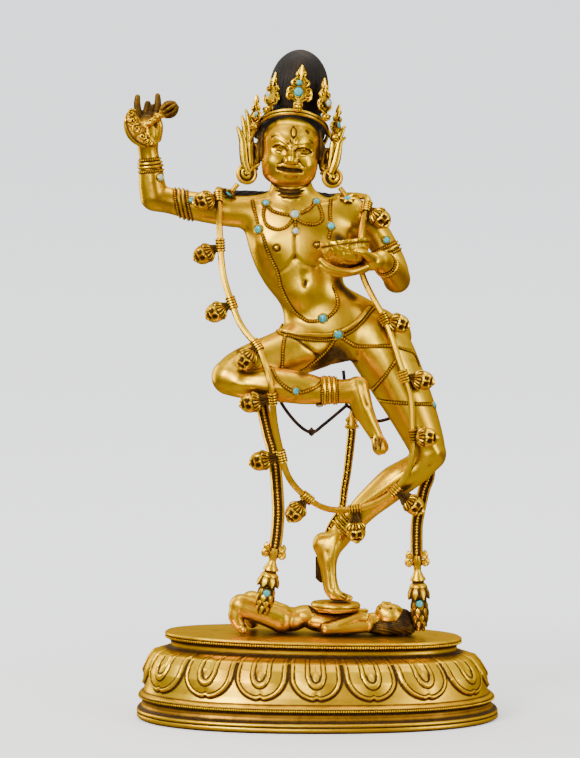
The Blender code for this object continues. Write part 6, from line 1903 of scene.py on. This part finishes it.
GILT = gilt("fire_gilding")
GILT_WORN = gilt("fire_gilding_worn", 0.16)
GILT_BRIGHT = gilt("fire_gilding_bright", -0.22)
GILT_MOTTLED = mottled_gilt("fire_gilding_mottled")
HAIR_DARK = dark_hair("darkened_hair", (0.010, 0.007, 0.004, 1), (0.044, 0.026, 0.011, 1), 0.25)
HAIR_BROWN = dark_hair("browned_hair", (0.035, 0.018, 0.006, 1), (0.30, 0.155, 0.022, 1), 0.75)
CORD_DARK = dark_bronze()
TURQUOISE = stone_finish("turquoise_inlay", (0.085, 0.52, 0.56, 1), (0.022, 0.25, 0.28, 1),
                         (0.06, 0.08, 0.05, 1))
PALE = stone_finish("pale_inlay", (0.62, 0.74, 0.68, 1), (0.36, 0.56, 0.52, 1), (0.80, 0.84, 0.78, 1))

PALE_STONES = ("stone_crown_right", "stone_crown_left", "stone_wrist_right", "stone_neck_front",
               "stone_neck_drop", "stone_anklet_right")
STONES = sorted(name for name in frame["nodes"] if name.startswith("stone_"))


def dress(thing, finish, nodes=()):
    thing.data.materials.clear()
    thing.data.materials.append(finish)
    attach(thing, "root")
    if nodes:
        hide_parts(*nodes)
    return thing


def all_pieces():
    body = figure_body()
    face = figure_face()
    hair, rolls = figure_hair(face)
    jewels = figure_jewellery(body)
    garland = head_garland(body)
    right = hand("right_hand", RIGHT_FINGERS, [(-101, -12, 280, 8, 5.8, 10.5)])
    left = hand("left_hand", LEFT_FINGERS, [(31, -37, 202, 7.5, 6.5, 5.5)])
    right.grime_and_shade += 0.6 * np.clip(((right.co[:, 2] - SOLE) / MM - 281) / 7, 0, 1)
    straps = [hanging_strap("right_strap", "pendant_right", RIGHT_STRAP, -0.19, 0.97),
              hanging_strap("left_strap", "pendant_left", LEFT_STRAP, 0.05, 1.1)]
    head_dress = crown(hair)
    rings = [earring("right_earring", "earring_right", "stone_earring_right"),
             earring("left_earring", "earring_left", "stone_earring_left")]
    homes = {"crown": head_dress, "earring_right": rings[0], "earring_left": rings[1],
             "pendant_right": straps[0], "pendant_left": straps[1]}
    for node in STONES:
        home = next((trim for key, trim in homes.items() if key in node), jewels)
        setting(home, node)
        body.stain_and_shade([stone_place(node)[0]], 4.2, 0.8)
        pale = node in PALE_STONES
        dress(stone(node), PALE if pale else TURQUOISE, [node])
    for piece, finish, node in (
            (body, GILT, "figure"), (face, GILT, "figure"), (right, GILT, "figure"), (left, GILT, "figure"),
            (hair, HAIR_DARK, "figure"), (rolls, HAIR_BROWN, "figure"), (jewels, GILT_BRIGHT, "figure"),
            (shoulder_locks(), HAIR_DARK, "figure"), (garland, GILT, "head_garland"),
            (straps[0], GILT, "pendant_right"), (straps[1], GILT_WORN, "pendant_left"),
            (back_strap(), GILT, "pendant_back"), (head_dress, GILT, "crown"),
            (rings[0], GILT, "earring_right"), (rings[1], GILT, "earring_left"), (corpse(), GILT, "corpse"),
            (corpse_hair(), HAIR_BROWN, "corpse"), (sun_disc(), GILT, "sun_disc"),
            (lotus_base(), GILT, "lotus_base"),
            (base_beads(), GILT_WORN, "lotus_base"), (skull_cup(), GILT_MOTTLED, "skull_cup"),
            (chopper(), GILT_MOTTLED, "chopper")):
        dress(piece.done(), finish, [node])
    dress(back_swag().done(), CORD_DARK, ["back_swag"])


all_pieces()


def soft_light(name, place_at, aim, size, power, tint=(1, 1, 1)):
    lamp = bpy.data.lights.new(name, "AREA")
    lamp.shape = "RECTANGLE"
    lamp.size, lamp.size_y = size
    lamp.energy = power
    lamp.color = tint
    thing = bpy.data.objects.new(name, lamp)
    bpy.context.scene.collection.objects.link(thing)
    thing.location = place_at
    thing.rotation_euler = (Vector(aim) - Vector(place_at)).to_track_quat("-Z", "Y").to_euler()


soft_light("key", (-0.8, -1.0, 0.9), (0, 0, 0.2), (0.6, 0.7), 21, (1.0, 0.98, 0.95))
soft_light("fill", (1.0, -0.8, 0.5), (0, 0, 0.18), (0.4, 1.0), 8, (1.0, 0.98, 0.96))
soft_light("front", (-0.3, -1.6, 0.45), (0, 0, 0.2), (0.4, 0.6), 6, (1.0, 0.98, 0.96))
soft_light("top", (0.0, 0.1, 1.25), (0, 0, 0.2), (1.1, 0.6), 9)
soft_light("edge", (-0.9, 0.6, 0.45), (0, 0, 0.2), (0.4, 0.9), 5)

floor_mesh = bpy.data.meshes.new("floor")
floor_shape = bmesh.new()
bmesh.ops.create_circle(floor_shape, cap_ends=True, segments=64, radius=2.5)
floor_shape.to_mesh(floor_mesh)
floor_shape.free()
floor = new_thing("floor", floor_mesh)
floor_finish, floor_tree, floor_shader = new_material("pale_floor")
# Pale to the camera but dark brown in reflections and bounced light, which paints shade into the undersides of
# the gilding.
floor_tone = mixed(floor_tree, "RGBA", floor_tree.nodes.new("ShaderNodeLightPath").outputs["Is Camera Ray"],
                   (0.24, 0.205, 0.165, 1), (1.0, 1.0, 1.0, 1))
floor_tree.links.new(floor_tone, floor_shader.inputs["Base Color"])
floor_shader.inputs["Roughness"].default_value = 0.7
floor_glow = mixed(floor_tree, "RGBA", floor_tree.nodes.new("ShaderNodeLightPath").outputs["Is Camera Ray"],
                   (0, 0, 0, 1), (0.32, 0.325, 0.34, 1))
floor_tree.links.new(floor_glow, floor_shader.inputs["Emission Color"])
floor_shader.inputs["Emission Strength"].default_value = 1.0
away = floor_tree.nodes.new("ShaderNodeVectorMath")
away.operation = "LENGTH"
floor_tree.links.new(floor_tree.nodes.new("ShaderNodeTexCoord").outputs["Object"], away.inputs[0])
clear = floor_tree.nodes.new("ShaderNodeBsdfTransparent")
fade = floor_tree.nodes.new("ShaderNodeMixShader")
floor_tree.links.new(ramped(floor_tree, away.outputs["Value"], 0.16, 0.62), fade.inputs[0])
floor_tree.links.new(floor_shader.outputs[0], fade.inputs[1])
floor_tree.links.new(clear.outputs[0], fade.inputs[2])
floor_tree.links.new(fade.outputs[0], floor_tree.nodes["Material Output"].inputs["Surface"])
floor.data.materials.append(floor_finish)

world = bpy.data.worlds.new("pale_room")
bpy.context.scene.world = world
world.use_nodes = True
room = world.node_tree
direction = room.nodes.new("ShaderNodeSeparateXYZ")
room.links.new(room.nodes.new("ShaderNodeTexCoord").outputs["Generated"], direction.inputs[0])
upward = direction.outputs["Z"]
toward_viewer = ramped(room, direction.outputs["Y"], -0.25, -0.9)
wall = mixed(room, "RGBA", ramped(room, upward, -0.2, 0.15), (2.3, 2.32, 2.38, 1), (1.68, 1.72, 1.77, 1))
around = mixed(room, "RGBA", ramped(room, upward, -0.25, 0.8), (0.19, 0.15, 0.115, 1), (0.92, 0.90, 0.86, 1))
around = mixed(room, "RGBA", toward_viewer, around, (0.23, 0.185, 0.145, 1))
backing = mixed(room, "RGBA", room.nodes.new("ShaderNodeLightPath").outputs["Is Camera Ray"], around, wall)
room.links.new(backing, room.nodes["Background"].inputs["Color"])
room.nodes["Background"].inputs["Strength"].default_value = 1.0

camera_data = bpy.data.cameras.new("photo_view")
camera_data.sensor_fit = "HORIZONTAL"
camera_data.sensor_width = 36.0
camera_data.lens = 2200 / 580 * 36.0
camera = bpy.data.objects.new("photo_view", camera_data)
bpy.context.scene.collection.objects.link(camera)
camera.location = EYE
camera.rotation_euler = (math.radians(90 - 1.12), 0, 0)
bpy.context.scene.camera = camera
